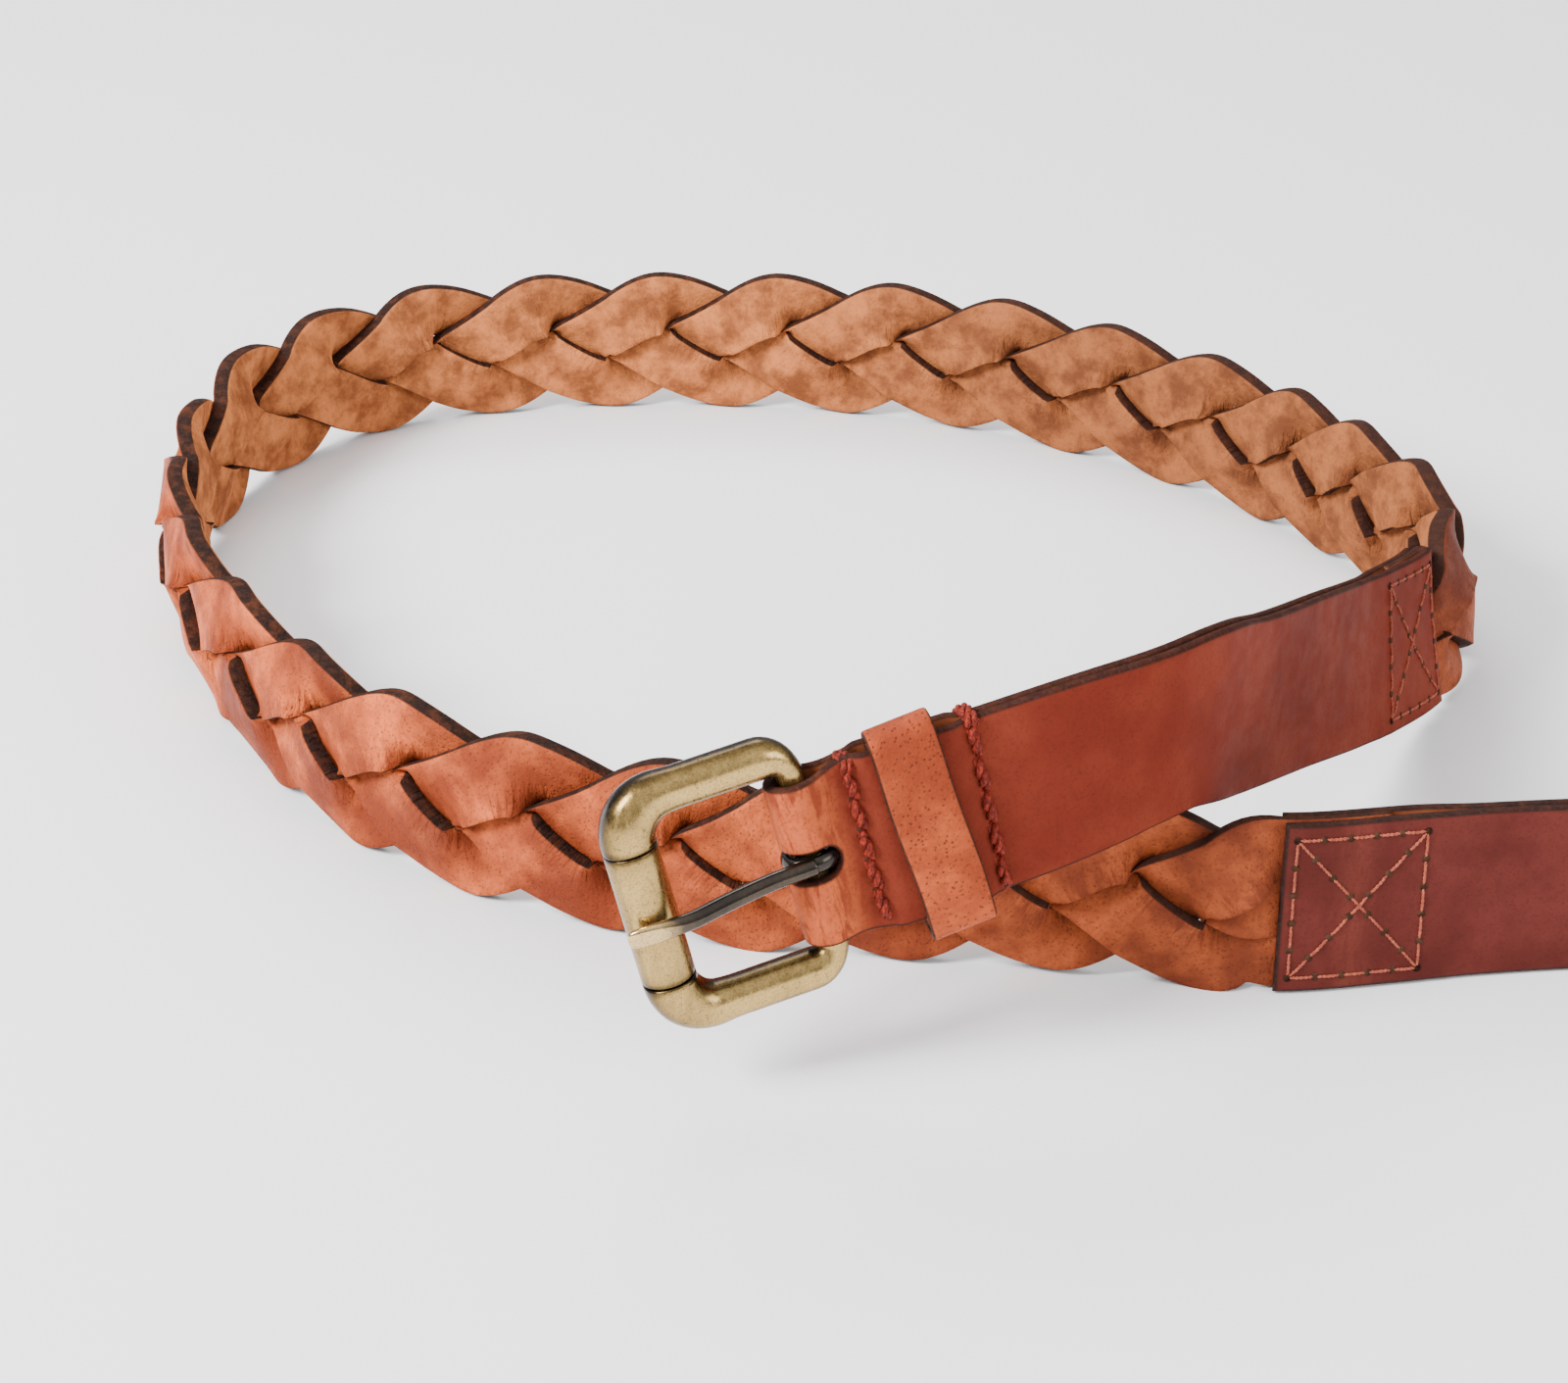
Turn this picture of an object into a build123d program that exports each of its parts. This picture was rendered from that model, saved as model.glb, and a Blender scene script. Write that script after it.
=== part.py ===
import os
from math import ceil, cos, degrees, pi, radians, sin, sqrt

from build123d import *

os.makedirs("parts", exist_ok=True)

# Leather belt standing on its lower edge in an open loop, in millimetres. +Z is up.

# ---------------------------------------------------------------- driving dimensions
STRAP_WIDTH = 30.5
LAYER = 1.8  # thickness of one strap layer
SECTION_STEP = 2.5  # between the sections that the curved leather is lofted through
GLUE_LINE = 0.1  # gap between two layers that are sewn together
CHAPE_END_WIDTH = 28.0  # the strap is trimmed a little where the buckle holds it

STRAND_WIDTH = 11.4
STRAND_THICKNESS = 2.5
STRAND_SWING = 9.7  # how far a strand's middle goes from the plait's middle
STRAND_LIFT = 3.1  # how far it rises over, and dips under, the other two
STRAND_LIFT_FLAT = 0.6  # flattens the top of each rise
STRAND_BANK = 0.42  # how much a strand tilts as it crosses
SKIVED_END = 1.2  # strand ends are pared thin where they are sewn in
SKIVED_WIDTH = 9.4
SEWN_IN = 20.0  # length of strand between the strap layers

BAR_RADIUS = 2.5  # rear bar of the buckle
FRONT_BAR_RADIUS = 3.05
ROLLER_RADIUS = 4.25
ROLLER_LENGTH = 23.0
RUNNING = 0.07  # radial clearance of everything that turns on a bar
BUCKLE_REACH = 26.0  # rear bar to roller axis
BUCKLE_HEIGHT = 37.2  # between the middles of the two arms
SEAM = 0.15  # gap between the roller and the frame at each end
BUCKLE_CORNER = 6.5  # bend radius of the frame's middle line at its front corners
REAR_CORNER = 4.5
ARM_HALF = (3.25, 3.0)  # across the arm in the frame's plane, and square to it
BUCKLE_SWING = -2.0  # how far the buckle is turned from the strap's line
PRONG_RADIUS = 1.4
SLOT_WIDTH = 4.8
SLOT_REACH = 7.2  # from the rear bar to each end of the prong's slot

PINCH = 1.8  # length over which a row of stitches closes the layers
ROW_FRONT = 8.5  # stitch rows, measured along the strap from the rear bar
ROW_REAR = 28.0
ROW_THREAD = 0.65
ROW_STITCHES = 5
BOX_THREAD = 0.35
BOX_LENGTH = 21.5
BOX_HEIGHT = 25.0
BOX_MARGIN = 2.0
SIDE_STITCHES = 5
DIAGONAL_STITCHES = 7

KEEPER_AT = 18.6  # middle of the keeper, from the rear bar
KEEPER_WIDTH = 10.5
KEEPER_LEATHER = 1.4
KEEPER_INSIDE = 34.6
KEEPER_LEAN = 5.0
KEEPER_GAP = 2.5  # room between the strap layers where the keeper passes through

HOLE_RADIUS = 2.0
HOLE_PITCH = 25.0
FIRST_HOLE = 85.0  # from the pointed end
HOLE_COUNT = 5
POINT_LENGTH = 22.0

# The belt's middle line from the pointed end to the buckle's rear bar, as
# (x, y, height, lean): lean is how far the top edge tips inwards, in degrees.
LAYOUT_CENTRE = (98.994, 526.793)
MIDDLE_LINE = [
    (328, 399.5, 15.443, 0),
    (280, 408, 15.443, 0),
    (232, 416.5, 15.443, 0),
    (184, 423, 15.443, 0),
    (135, 425, 15.443, 2),
    (104, 422, 15.443, 4),
    (80, 419, 15.443, 5),
    (50, 424, 16, 6),
    (15, 429, 16.5, 6),
    (-15, 433.5, 16.5, 5),
    (-45, 444, 16.5, 4),
    (-72, 463, 16.5, 3),
    (-93, 489, 16.5, 2),
    (-110, 520, 16.5, 0),
    (-121, 555, 16.5, 0),
    (-123, 592, 16.5, 0),
    (-113, 627, 16.5, 0),
    (-90, 652, 16.5, 0),
    (-55, 663.5, 16.5, 0),
    (-20, 665.5, 16.5, 0),
    (15, 661, 16.5, 0),
    (50, 647.5, 16.5, 0),
    (80, 627, 16.5, 0),
    (105, 600, 16.5, 0),
    (121, 573, 16.5, 2),
    (130, 549, 16.5, 6),
    (129, 529, 17.4, 11),
    (121, 513.5, 18.2, 13),
    (109, 494.5, 22.2, 11),
    (90, 463, 32.8, 4),
    (75, 438, 41.5, 0),
    (66.5, 424, 47, -1),
    (57.5, 414, 48.6, 0),
    (45, 407, 47.3, 4),
    (31.5, 402.2, 44.6, 5),
    (17.5, 398.8, 41.5, 5),
    (4, 395.6, 38.3, 5),
]
TIP_JUNCTION = 6  # stations where the plait goes in between the strap layers
CHAPE_JUNCTION = 27

# Humps along the plait's upper edge, counted from the first one clear of the tip
# junction, at distances from the pointed end. The plait is tighter at the last bend.
HUMP_COUNT = [
    (226, -4.9),
    (362, 0.5),
    (442, 3.5),
    (593, 8.5),
    (839, 17.5),
    (880, 19.5),
    (960, 22.7),
]


# ---------------------------------------------------------------- the belt's middle line
def add(*vectors):
    """The sum of several tuples."""
    return tuple(sum(parts) for parts in zip(*vectors))


def times(vector, factor):
    return tuple(part * factor for part in vector)


def running_distance(stations):
    distances = [0.0]
    for here, there in zip(stations, stations[1:]):
        step = sqrt(sum((b - a) ** 2 for a, b in zip(here[:3], there[:3])))
        distances.append(distances[-1] + step)
    return distances


def slopes(stations, distances):
    """Slope of each value at each station, weighted towards the nearer neighbour."""
    spans = [
        times(add(b, times(a, -1)), 1 / (db - da))
        for a, b, da, db in zip(stations, stations[1:], distances, distances[1:])
    ]
    result = [spans[0]]
    for i in range(1, len(stations) - 1):
        before = distances[i] - distances[i - 1]
        after = distances[i + 1] - distances[i]
        mixed = add(times(spans[i - 1], after), times(spans[i], before))
        result.append(times(mixed, 1 / (before + after)))
    result.append(spans[-1])
    return result


DISTANCE = running_distance(MIDDLE_LINE)
SLOPE = slopes(MIDDLE_LINE, DISTANCE)
BELT_END = DISTANCE[-1]
TIP_MOUTH = DISTANCE[TIP_JUNCTION]
CHAPE_MOUTH = DISTANCE[CHAPE_JUNCTION]


def on_middle_line(d):
    """(x, y, height, lean) at a distance along the belt: a cubic between stations."""
    i = sum(1 for start in DISTANCE[1:-1] if start <= d)
    h = DISTANCE[i + 1] - DISTANCE[i]
    u = (d - DISTANCE[i]) / h
    return add(
        times(MIDDLE_LINE[i], 2 * u**3 - 3 * u**2 + 1),
        times(SLOPE[i], (u**3 - 2 * u**2 + u) * h),
        times(MIDDLE_LINE[i + 1], 3 * u**2 - 2 * u**3),
        times(SLOPE[i + 1], (u**3 - u**2) * h),
    )


def belt_axes(d):
    """Middle, direction towards the buckle, up along the width, outward normal."""
    x, y, height, lean = on_middle_line(d)
    behind = on_middle_line(max(d - 0.5, 0))
    ahead = on_middle_line(min(d + 0.5, BELT_END))
    along = (Vector(*ahead[:3]) - Vector(*behind[:3])).normalized()
    flat_out = Vector(0, 0, 1).cross(along).normalized()
    tipped = Vector(0, 0, cos(radians(lean))) - flat_out * sin(radians(lean))
    up = (tipped - along * tipped.dot(along)).normalized()
    middle = Vector(x - LAYOUT_CENTRE[0], y - LAYOUT_CENTRE[1], height)
    return middle, along, up, up.cross(along)


def section_plane(d, out=0.0, across=0.0):
    """Plane square to the belt: local x is outward, local y is up the width."""
    middle, along, up, outward = belt_axes(d)
    return Plane(origin=middle + outward * out + up * across, x_dir=outward, z_dir=along)


def face_plane(d, out=0.0, across=0.0):
    """Plane on the belt's outer side: local x runs towards the buckle."""
    middle, along, up, outward = belt_axes(d)
    return Plane(origin=middle + outward * out + up * across, x_dir=along, z_dir=outward)


def from_bar(distance):
    """Distance along the belt of a place given by its distance from the rear bar."""
    return BELT_END - distance


def blend(d, start, end):
    """0 before start, 1 after end, smooth between."""
    u = min(max((d - start) / (end - start), 0), 1)
    return u * u * (3 - 2 * u)


def steps(start, end, longest):
    count = max(1, ceil(abs(end - start) / longest))
    return [start + (end - start) * i / count for i in range(count + 1)]


# ---------------------------------------------------------------- plait
def hump_count(d):
    for (d0, n0), (d1, n1) in zip(HUMP_COUNT, HUMP_COUNT[1:]):
        if d <= d1:
            break
    return n0 + (n1 - n0) * (d - d0) / (d1 - d0)


def strand_phase(d, strand):
    return 2 * pi * (hump_count(d) + strand) / 3


def strand_slots(mouth):
    """Which third of the strap each strand is sewn into, from its place at the mouth."""
    height = {k: cos(strand_phase(mouth, k)) for k in range(3)}
    order = sorted(height, key=height.get)
    return {strand: slot - 1 for slot, strand in enumerate(order)}


TIP_SLOTS = strand_slots(TIP_MOUTH)
CHAPE_SLOTS = strand_slots(CHAPE_MOUTH)


def strand_section(d, strand):
    """Outward and upward place, tilt, width and thickness of one strand."""
    free = blend(d, TIP_MOUTH + 1, TIP_MOUTH + 16) * blend(d, CHAPE_MOUTH - 1, CHAPE_MOUTH - 16)
    slot = TIP_SLOTS[strand] if d < BELT_END / 2 else CHAPE_SLOTS[strand]
    phase = strand_phase(d, strand)
    pitch = 1.5 / (hump_count(d + 1.5) - hump_count(d))
    side_slope = STRAND_SWING * 2 * pi / (3 * pitch) * sin(phase) * free
    lift = STRAND_LIFT * sin(2 * phase) + STRAND_LIFT_FLAT * sin(4 * phase)
    tilt = -degrees(STRAND_BANK * sin(3 * phase)) * free
    across = STRAND_SWING * cos(phase) * free + slot * SKIVED_WIDTH * 1.04 * (1 - free)
    width = SKIVED_WIDTH + (STRAND_WIDTH * sqrt(1 + side_slope**2) - SKIVED_WIDTH) * free
    thickness = SKIVED_END + (STRAND_THICKNESS - SKIVED_END) * free
    return lift * free, across, tilt, width, thickness


def make_strand(label, strand):
    stations = steps(TIP_MOUTH - SEWN_IN, CHAPE_MOUTH + SEWN_IN, SECTION_STEP)
    with BuildPart() as piece:
        for d in stations:
            out, across, tilt, width, thickness = strand_section(d, strand)
            with BuildSketch(section_plane(d, out, across)):
                Rectangle(thickness, width, rotation=-tilt)
        loft(ruled=True)
    piece.part.label = label
    export_step(piece.part, f"parts/{label}.step")


for strand, letter in enumerate("abc"):
    make_strand(f"strand_{letter}", strand)


# ---------------------------------------------------------------- tip strap and its lining
STRAND_ROOM = SKIVED_END + 0.2


def tip_gap(d):
    """Gap between the two layers of the tip strap, open where the strands are sewn in."""
    return GLUE_LINE + (STRAND_ROOM - GLUE_LINE) * blend(d, TIP_MOUTH - 34, TIP_MOUTH - 22)


def make_tip_layer(label, side):
    """side is 1 for the outer layer and -1 for the lining."""
    stations = steps(0, DISTANCE[3], 50.0) + steps(DISTANCE[3], TIP_MOUTH, SECTION_STEP)[1:]
    with BuildPart() as piece:
        for d in stations:
            with BuildSketch(section_plane(d, side * (tip_gap(d) + LAYER) / 2)):
                Rectangle(LAYER, STRAP_WIDTH)
        loft(ruled=True)
        with BuildSketch(face_plane(0)):
            with BuildLine():
                half = STRAP_WIDTH / 2
                ThreePointArc((POINT_LENGTH, half), (POINT_LENGTH * 0.42, half * 0.78), (0, 0))
                ThreePointArc((0, 0), (POINT_LENGTH * 0.42, -half * 0.78), (POINT_LENGTH, -half))
                Polyline((POINT_LENGTH, -half), (POINT_LENGTH, -half - 1), (-1, -half - 1),
                         (-1, half + 1), (POINT_LENGTH, half + 1), (POINT_LENGTH, half))
            make_face()
        extrude(amount=2 * LAYER, both=True, mode=Mode.SUBTRACT)
        for i in range(HOLE_COUNT):
            with BuildSketch(face_plane(FIRST_HOLE + i * HOLE_PITCH)):
                Circle(HOLE_RADIUS)
            extrude(amount=2 * LAYER, both=True, mode=Mode.SUBTRACT)
    piece.part.label = label
    export_step(piece.part, f"parts/{label}.step")


make_tip_layer("tip_strap", 1)
make_tip_layer("tip_lining", -1)


# ---------------------------------------------------------------- chape strap
def chape_gap(d):
    """Gap between the layers of the folded strap: round the bar, keeper, strands."""
    bar = 2 * (BAR_RADIUS + RUNNING) * blend(d, from_bar(7.5), from_bar(0))
    keeper = KEEPER_GAP * blend(d, from_bar(ROW_REAR), from_bar(ROW_REAR - PINCH))
    keeper *= blend(d, from_bar(ROW_FRONT), from_bar(ROW_FRONT + PINCH))
    strands = STRAND_ROOM * blend(d, CHAPE_MOUTH + 34, CHAPE_MOUTH + 22)
    return max(GLUE_LINE, bar, keeper, strands)


def chape_width(d):
    return STRAP_WIDTH + (CHAPE_END_WIDTH - STRAP_WIDTH) * blend(d, from_bar(9), from_bar(2))


def chape_planes():
    """Section planes along the back layer, round the bar, and along the front layer."""
    run = steps(CHAPE_MOUTH, from_bar(ROW_REAR), SECTION_STEP)
    run += steps(from_bar(ROW_REAR), from_bar(ROW_REAR - PINCH), 0.6)[1:]
    run += steps(from_bar(ROW_REAR - PINCH), from_bar(ROW_FRONT + PINCH), SECTION_STEP)[1:]
    run += steps(from_bar(ROW_FRONT + PINCH), from_bar(ROW_FRONT), 0.6)[1:]
    run += steps(from_bar(ROW_FRONT), from_bar(0), 1.6)[1:]
    planes = []
    for d in run[:-1]:
        middle, along, up, outward = belt_axes(d)
        place = middle - outward * (chape_gap(d) + LAYER) / 2
        planes.append((Plane(origin=place, x_dir=-outward, z_dir=along), chape_width(d)))
    middle, along, up, outward = belt_axes(BELT_END)
    bend = BAR_RADIUS + RUNNING + LAYER / 2
    for turn in steps(0, pi, radians(15)):
        radial = along * sin(turn) - outward * cos(turn)
        heading = along * cos(turn) + outward * sin(turn)
        place = middle + radial * bend
        planes.append((Plane(origin=place, x_dir=radial, z_dir=heading), CHAPE_END_WIDTH))
    for d in reversed(run[:-1]):
        middle, along, up, outward = belt_axes(d)
        place = middle + outward * (chape_gap(d) + LAYER) / 2
        planes.append((Plane(origin=place, x_dir=outward, z_dir=-along), chape_width(d)))
    return planes


with BuildPart() as chape_strap:
    for plane, width in chape_planes():
        with BuildSketch(plane):
            Rectangle(LAYER, width)
    loft(ruled=True)
    with BuildSketch(face_plane(BELT_END)):
        SlotOverall(2 * SLOT_REACH, SLOT_WIDTH)
    extrude(amount=9, both=True, mode=Mode.SUBTRACT)
chape_strap.part.label = "chape_strap"
export_step(chape_strap.part, "parts/chape_strap.step")


# ---------------------------------------------------------------- stitches
def strap_point(d, across, out):
    middle, along, up, outward = belt_axes(d)
    return middle + up * across + outward * out


def make_stitches(label, runs, radius):
    """Straight lengths of thread, each between two points."""
    with BuildPart() as piece:
        for start, end in runs:
            run = end - start
            with BuildSketch(Plane(origin=start, z_dir=run.normalized())):
                Circle(radius)
            extrude(amount=run.length)
    piece.part.label = label
    export_step(piece.part, f"parts/{label}.step")


def stitch_row(distance):
    """Thick stitches across the folded strap, on both faces and lapped over its top edge."""
    d = from_bar(distance)
    surface = chape_gap(d) / 2 + LAYER + ROW_THREAD
    half = chape_width(d) / 2
    pitch = (2 * half - 1.4) / ROW_STITCHES
    runs = []
    for face in (surface, -surface):
        for i in range(ROW_STITCHES):
            low = 0.7 - half + i * pitch
            runs.append((strap_point(d, low + 0.5, face), strap_point(d, low + pitch - 0.5, face)))
    over = half + ROW_THREAD
    reach = surface + ROW_THREAD
    runs.append((strap_point(d, over, -reach), strap_point(d, over, reach)))
    return runs


def box_stitch(start, surface):
    """A box with both diagonals, sewn through the strap over the strand ends."""
    half = BOX_LENGTH / 2
    rise = BOX_HEIGHT / 2
    centre = start + half
    corners = [(-half, rise), (half, rise), (half, -rise), (-half, -rise)]
    lines = [(corners[i], corners[(i + 1) % 4], SIDE_STITCHES) for i in range(4)]
    lines += [(corners[i], corners[i + 2], DIAGONAL_STITCHES) for i in range(2)]
    runs = []
    for (d0, a0), (d1, a1), count in lines:
        middle_one = count // 2 if count == DIAGONAL_STITCHES else None
        for i in range(count):
            if i == middle_one:
                continue
            ends = [(i + share) / count for share in (0.18, 0.82)]
            runs.append([
                strap_point(centre + d0 + (d1 - d0) * u, a0 + (a1 - a0) * u, surface) for u in ends
            ])
    return runs


BOX_SURFACE = STRAND_ROOM / 2 + LAYER + BOX_THREAD
make_stitches("stitch_row_front", stitch_row(ROW_FRONT), ROW_THREAD)
make_stitches("stitch_row_rear", stitch_row(ROW_REAR), ROW_THREAD)
make_stitches("box_stitch_tip_end",
              box_stitch(TIP_MOUTH - BOX_MARGIN - BOX_LENGTH, BOX_SURFACE), BOX_THREAD)
make_stitches("box_stitch_buckle_end",
              box_stitch(CHAPE_MOUTH + BOX_MARGIN, BOX_SURFACE), BOX_THREAD)


# ---------------------------------------------------------------- keeper
def keeper_plane():
    """Plane square to the keeper's own line: local x is outward, local y is up."""
    middle, along, up, outward = belt_axes(from_bar(KEEPER_AT))
    leaned = along * cos(radians(KEEPER_LEAN)) - up * sin(radians(KEEPER_LEAN))
    return Plane(origin=middle, x_dir=outward, z_dir=leaned)


BACK_FACE = -0.45  # the keeper's hidden side lies between the strap's two layers
FRONT_FACE = KEEPER_GAP / 2 + LAYER + 0.4

with BuildPart() as keeper_loop:
    with BuildSketch(keeper_plane()):
        inside = KEEPER_INSIDE / 2
        outer_x = FRONT_FACE + KEEPER_LEATHER
        with BuildLine():
            Polyline((BACK_FACE, -inside), (BACK_FACE, inside))
            ThreePointArc((BACK_FACE, inside), (BACK_FACE + 1, inside + 1.2),
                          (BACK_FACE + KEEPER_LEATHER, inside + KEEPER_LEATHER))
            Polyline((BACK_FACE + KEEPER_LEATHER, inside + KEEPER_LEATHER),
                     (outer_x - 1.5, inside + KEEPER_LEATHER), (outer_x, inside - 0.5))
            ThreePointArc((outer_x, inside - 0.5), (outer_x + 0.8, 0), (outer_x, 0.5 - inside))
            Polyline((outer_x, 0.5 - inside), (outer_x - 1.5, -inside - KEEPER_LEATHER),
                     (BACK_FACE + KEEPER_LEATHER, -inside - KEEPER_LEATHER))
            ThreePointArc((BACK_FACE + KEEPER_LEATHER, -inside - KEEPER_LEATHER),
                          (BACK_FACE + 1, -inside - 1.2), (BACK_FACE, -inside))
        make_face()
        with BuildLine():
            Polyline((BACK_FACE + KEEPER_LEATHER, -inside), (BACK_FACE + KEEPER_LEATHER, inside),
                     (FRONT_FACE - 0.5, inside), (FRONT_FACE, inside - 0.8))
            ThreePointArc((FRONT_FACE, inside - 0.8), (FRONT_FACE + 0.8, 0),
                          (FRONT_FACE, 0.8 - inside))
            Polyline((FRONT_FACE, 0.8 - inside), (FRONT_FACE - 0.5, -inside),
                     (BACK_FACE + KEEPER_LEATHER, -inside))
        make_face(mode=Mode.SUBTRACT)
    extrude(amount=KEEPER_WIDTH / 2, both=True)
keeper_loop.part.label = "keeper_loop"
export_step(keeper_loop.part, "parts/keeper_loop.step")

STAPLE_WIRE = 0.4
STAPLE_SPAN = 9.0

with BuildPart() as keeper_staple:
    with BuildSketch(keeper_plane()):
        with Locations((BACK_FACE - STAPLE_WIRE / 2, 0)):
            Rectangle(STAPLE_WIRE, STAPLE_SPAN)
    extrude(amount=0.4, both=True)
keeper_staple.part.label = "keeper_staple"
export_step(keeper_staple.part, "parts/keeper_staple.step")


# ---------------------------------------------------------------- buckle
BAR_MIDDLE, STRAP_ALONG, BAR_UP, STRAP_OUT = belt_axes(BELT_END)
FORWARD = STRAP_ALONG.rotate(Axis((0, 0, 0), BAR_UP), -BUCKLE_SWING)
OUTWARD = BAR_UP.cross(FORWARD)


def buckle_point(forward, up, out=0.0):
    return BAR_MIDDLE + FORWARD * forward + BAR_UP * up + OUTWARD * out


def bar_plane(forward, up, out=0.0):
    """Plane square to the bars: local x is forward, local y is inward."""
    return Plane(origin=buckle_point(forward, up, out), x_dir=FORWARD, z_dir=BAR_UP)


def half_frame():
    """One half of the frame's middle line, from the roller's seam to the rear bar.

    Each entry is forward and up places, heading in degrees, and the two half sizes.
    """
    half = BUCKLE_HEIGHT / 2
    entries = [(BUCKLE_REACH, ROLLER_LENGTH / 2 + SEAM, 90, ROLLER_RADIUS, ROLLER_RADIUS)]
    for turn in steps(0, 90, 15):
        share = turn / 90
        entries.append((
            BUCKLE_REACH - BUCKLE_CORNER * (1 - cos(radians(turn))),
            half - BUCKLE_CORNER * (1 - sin(radians(turn))),
            90 + turn,
            ROLLER_RADIUS + (ARM_HALF[0] - ROLLER_RADIUS) * share,
            ROLLER_RADIUS + (ARM_HALF[1] - ROLLER_RADIUS) * share,
        ))
    for turn in steps(0, 90, 18):
        share = turn / 90
        entries.append((
            REAR_CORNER * (1 - sin(radians(turn))),
            half - REAR_CORNER * (1 - cos(radians(turn))),
            180 + turn,
            ARM_HALF[0] + (BAR_RADIUS - ARM_HALF[0]) * share,
            ARM_HALF[1] + (BAR_RADIUS - ARM_HALF[1]) * share,
        ))
    return entries


def whole_frame():
    upper = half_frame()
    lower = [(forward, -up, 540 - turn, wide, deep) for forward, up, turn, wide, deep in upper]
    return upper + lower[::-1]


with BuildPart() as buckle_frame:
    for forward, up, turn, wide, deep in whole_frame():
        heading = FORWARD * cos(radians(turn)) + BAR_UP * sin(radians(turn))
        across = OUTWARD.cross(heading)
        with BuildSketch(Plane(buckle_point(forward, up), x_dir=across, z_dir=heading)):
            Ellipse(wide, deep)
    loft(ruled=True)
    with BuildSketch(bar_plane(BUCKLE_REACH, -ROLLER_LENGTH / 2 - 1)):
        Circle(FRONT_BAR_RADIUS)
    extrude(amount=ROLLER_LENGTH + 2)
buckle_frame.part.label = "buckle_frame"
export_step(buckle_frame.part, "parts/buckle_frame.step")

with BuildPart() as buckle_roller:
    with BuildSketch(bar_plane(BUCKLE_REACH, -ROLLER_LENGTH / 2)):
        Circle(ROLLER_RADIUS)
        Circle(FRONT_BAR_RADIUS + RUNNING, mode=Mode.SUBTRACT)
    extrude(amount=ROLLER_LENGTH)
buckle_roller.part.label = "buckle_roller"
export_step(buckle_roller.part, "parts/buckle_roller.step")

EYE_RADIUS = BAR_RADIUS + RUNNING + PRONG_RADIUS
EYE_WIDTH = 3.1
PRONG_REST = ROLLER_RADIUS + PRONG_RADIUS + 0.08
# Stations of the prong: forward, up, outward, half height and half thickness.
PRONG_STATIONS = [
    (0.5, 0.3, EYE_RADIUS + 0.05, 1.4, 1.3),
    (4.5, 0.3, EYE_RADIUS + 0.05, 1.4, 1.35),
    (8, 0.2, EYE_RADIUS + 0.15, 1.4, 1.4),
    (12, 0, EYE_RADIUS + 0.6, 1.4, 1.4),
    (16, -0.2, EYE_RADIUS + 1.25, 1.4, 1.4),
    (20, -0.5, PRONG_REST + 0.25, 1.4, 1.4),
    (24, -0.7, PRONG_REST + 0.15, 1.45, 1.3),
    (27.5, -0.9, PRONG_REST - 0.1, 1.5, 1.1),
    (30, -1.0, PRONG_REST - 0.35, 1.3, 0.8),
]

with BuildPart() as buckle_prong:
    for forward, up, out, high, thick in PRONG_STATIONS:
        with BuildSketch(Plane(buckle_point(forward, up, out), x_dir=OUTWARD, z_dir=FORWARD)):
            Ellipse(thick, high)
    loft(ruled=True)
    with BuildSketch(bar_plane(0, 0.3 - EYE_WIDTH / 2)):
        Circle(EYE_RADIUS + 1.2)
    extrude(amount=EYE_WIDTH)
    with BuildSketch(bar_plane(0, 0.3 - 2 * PRONG_RADIUS)):
        Circle(BAR_RADIUS + RUNNING)
    extrude(amount=4 * PRONG_RADIUS, mode=Mode.SUBTRACT)
buckle_prong.part.label = "buckle_prong"
export_step(buckle_prong.part, "parts/buckle_prong.step")
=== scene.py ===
import math
import bpy
import numpy as np
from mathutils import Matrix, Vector
from mathutils.geometry import delaunay_2d_cdt


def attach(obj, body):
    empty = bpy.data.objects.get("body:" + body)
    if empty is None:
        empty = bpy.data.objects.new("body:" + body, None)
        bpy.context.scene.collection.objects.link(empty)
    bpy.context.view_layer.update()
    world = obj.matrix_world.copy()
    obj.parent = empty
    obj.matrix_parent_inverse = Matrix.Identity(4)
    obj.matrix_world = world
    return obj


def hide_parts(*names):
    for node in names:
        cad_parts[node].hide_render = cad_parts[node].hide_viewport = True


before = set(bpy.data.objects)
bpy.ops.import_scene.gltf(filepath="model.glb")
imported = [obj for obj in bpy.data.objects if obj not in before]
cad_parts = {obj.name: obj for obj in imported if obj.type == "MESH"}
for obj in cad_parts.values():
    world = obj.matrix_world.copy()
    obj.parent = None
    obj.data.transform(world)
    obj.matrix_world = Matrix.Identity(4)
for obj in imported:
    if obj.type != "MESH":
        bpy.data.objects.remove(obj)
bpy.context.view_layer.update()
RNG = np.random.default_rng(7)
pi = math.pi

# ------ sizes, in millimetres
STRAP_WIDTH = 30.5
LAYER = 1.8
GLUE_LINE = 0.1  # gap between two layers that are sewn together
FOLD_WIDTH = 28.0
BAR_RADIUS = 2.5
RUNNING = 0.07  # clearance of the fold and the prong's eye round the rear bar
ROLLER_RADIUS = 4.25
ROLLER_BORE = 3.3
FRONT_BAR_RADIUS = 2.6
ROLLER_LENGTH = 23.0
BUCKLE_REACH = 26.0
BUCKLE_HEIGHT = 37.2
BUCKLE_CORNER = 6.5
REAR_CORNER = 4.5
ARM_HALF = (3.3, 3.05)  # across the arm in the frame's plane, and square to it
REAR_HALF = 2.32
PRONG_RADIUS = 1.4
SLOT_WIDTH = 4.8
SLOT_REACH = 7.2
ROW_FRONT = 8.5
ROW_REAR = 28.0
ROW_STITCHES = 5
ROW_THREAD_RADIUS = 0.92
LAP_THREAD_RADIUS = 0.75  # where the row laps over the top edge
BOX_LENGTH = 21.5
BOX_HEIGHT = 25.0
BOX_MARGIN = 2.0
BOX_THREAD_RADIUS = 0.27
SIDE_STITCHES = 5
DIAGONAL_STITCHES = 7
NEEDLE_HOLE = 0.72
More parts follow.
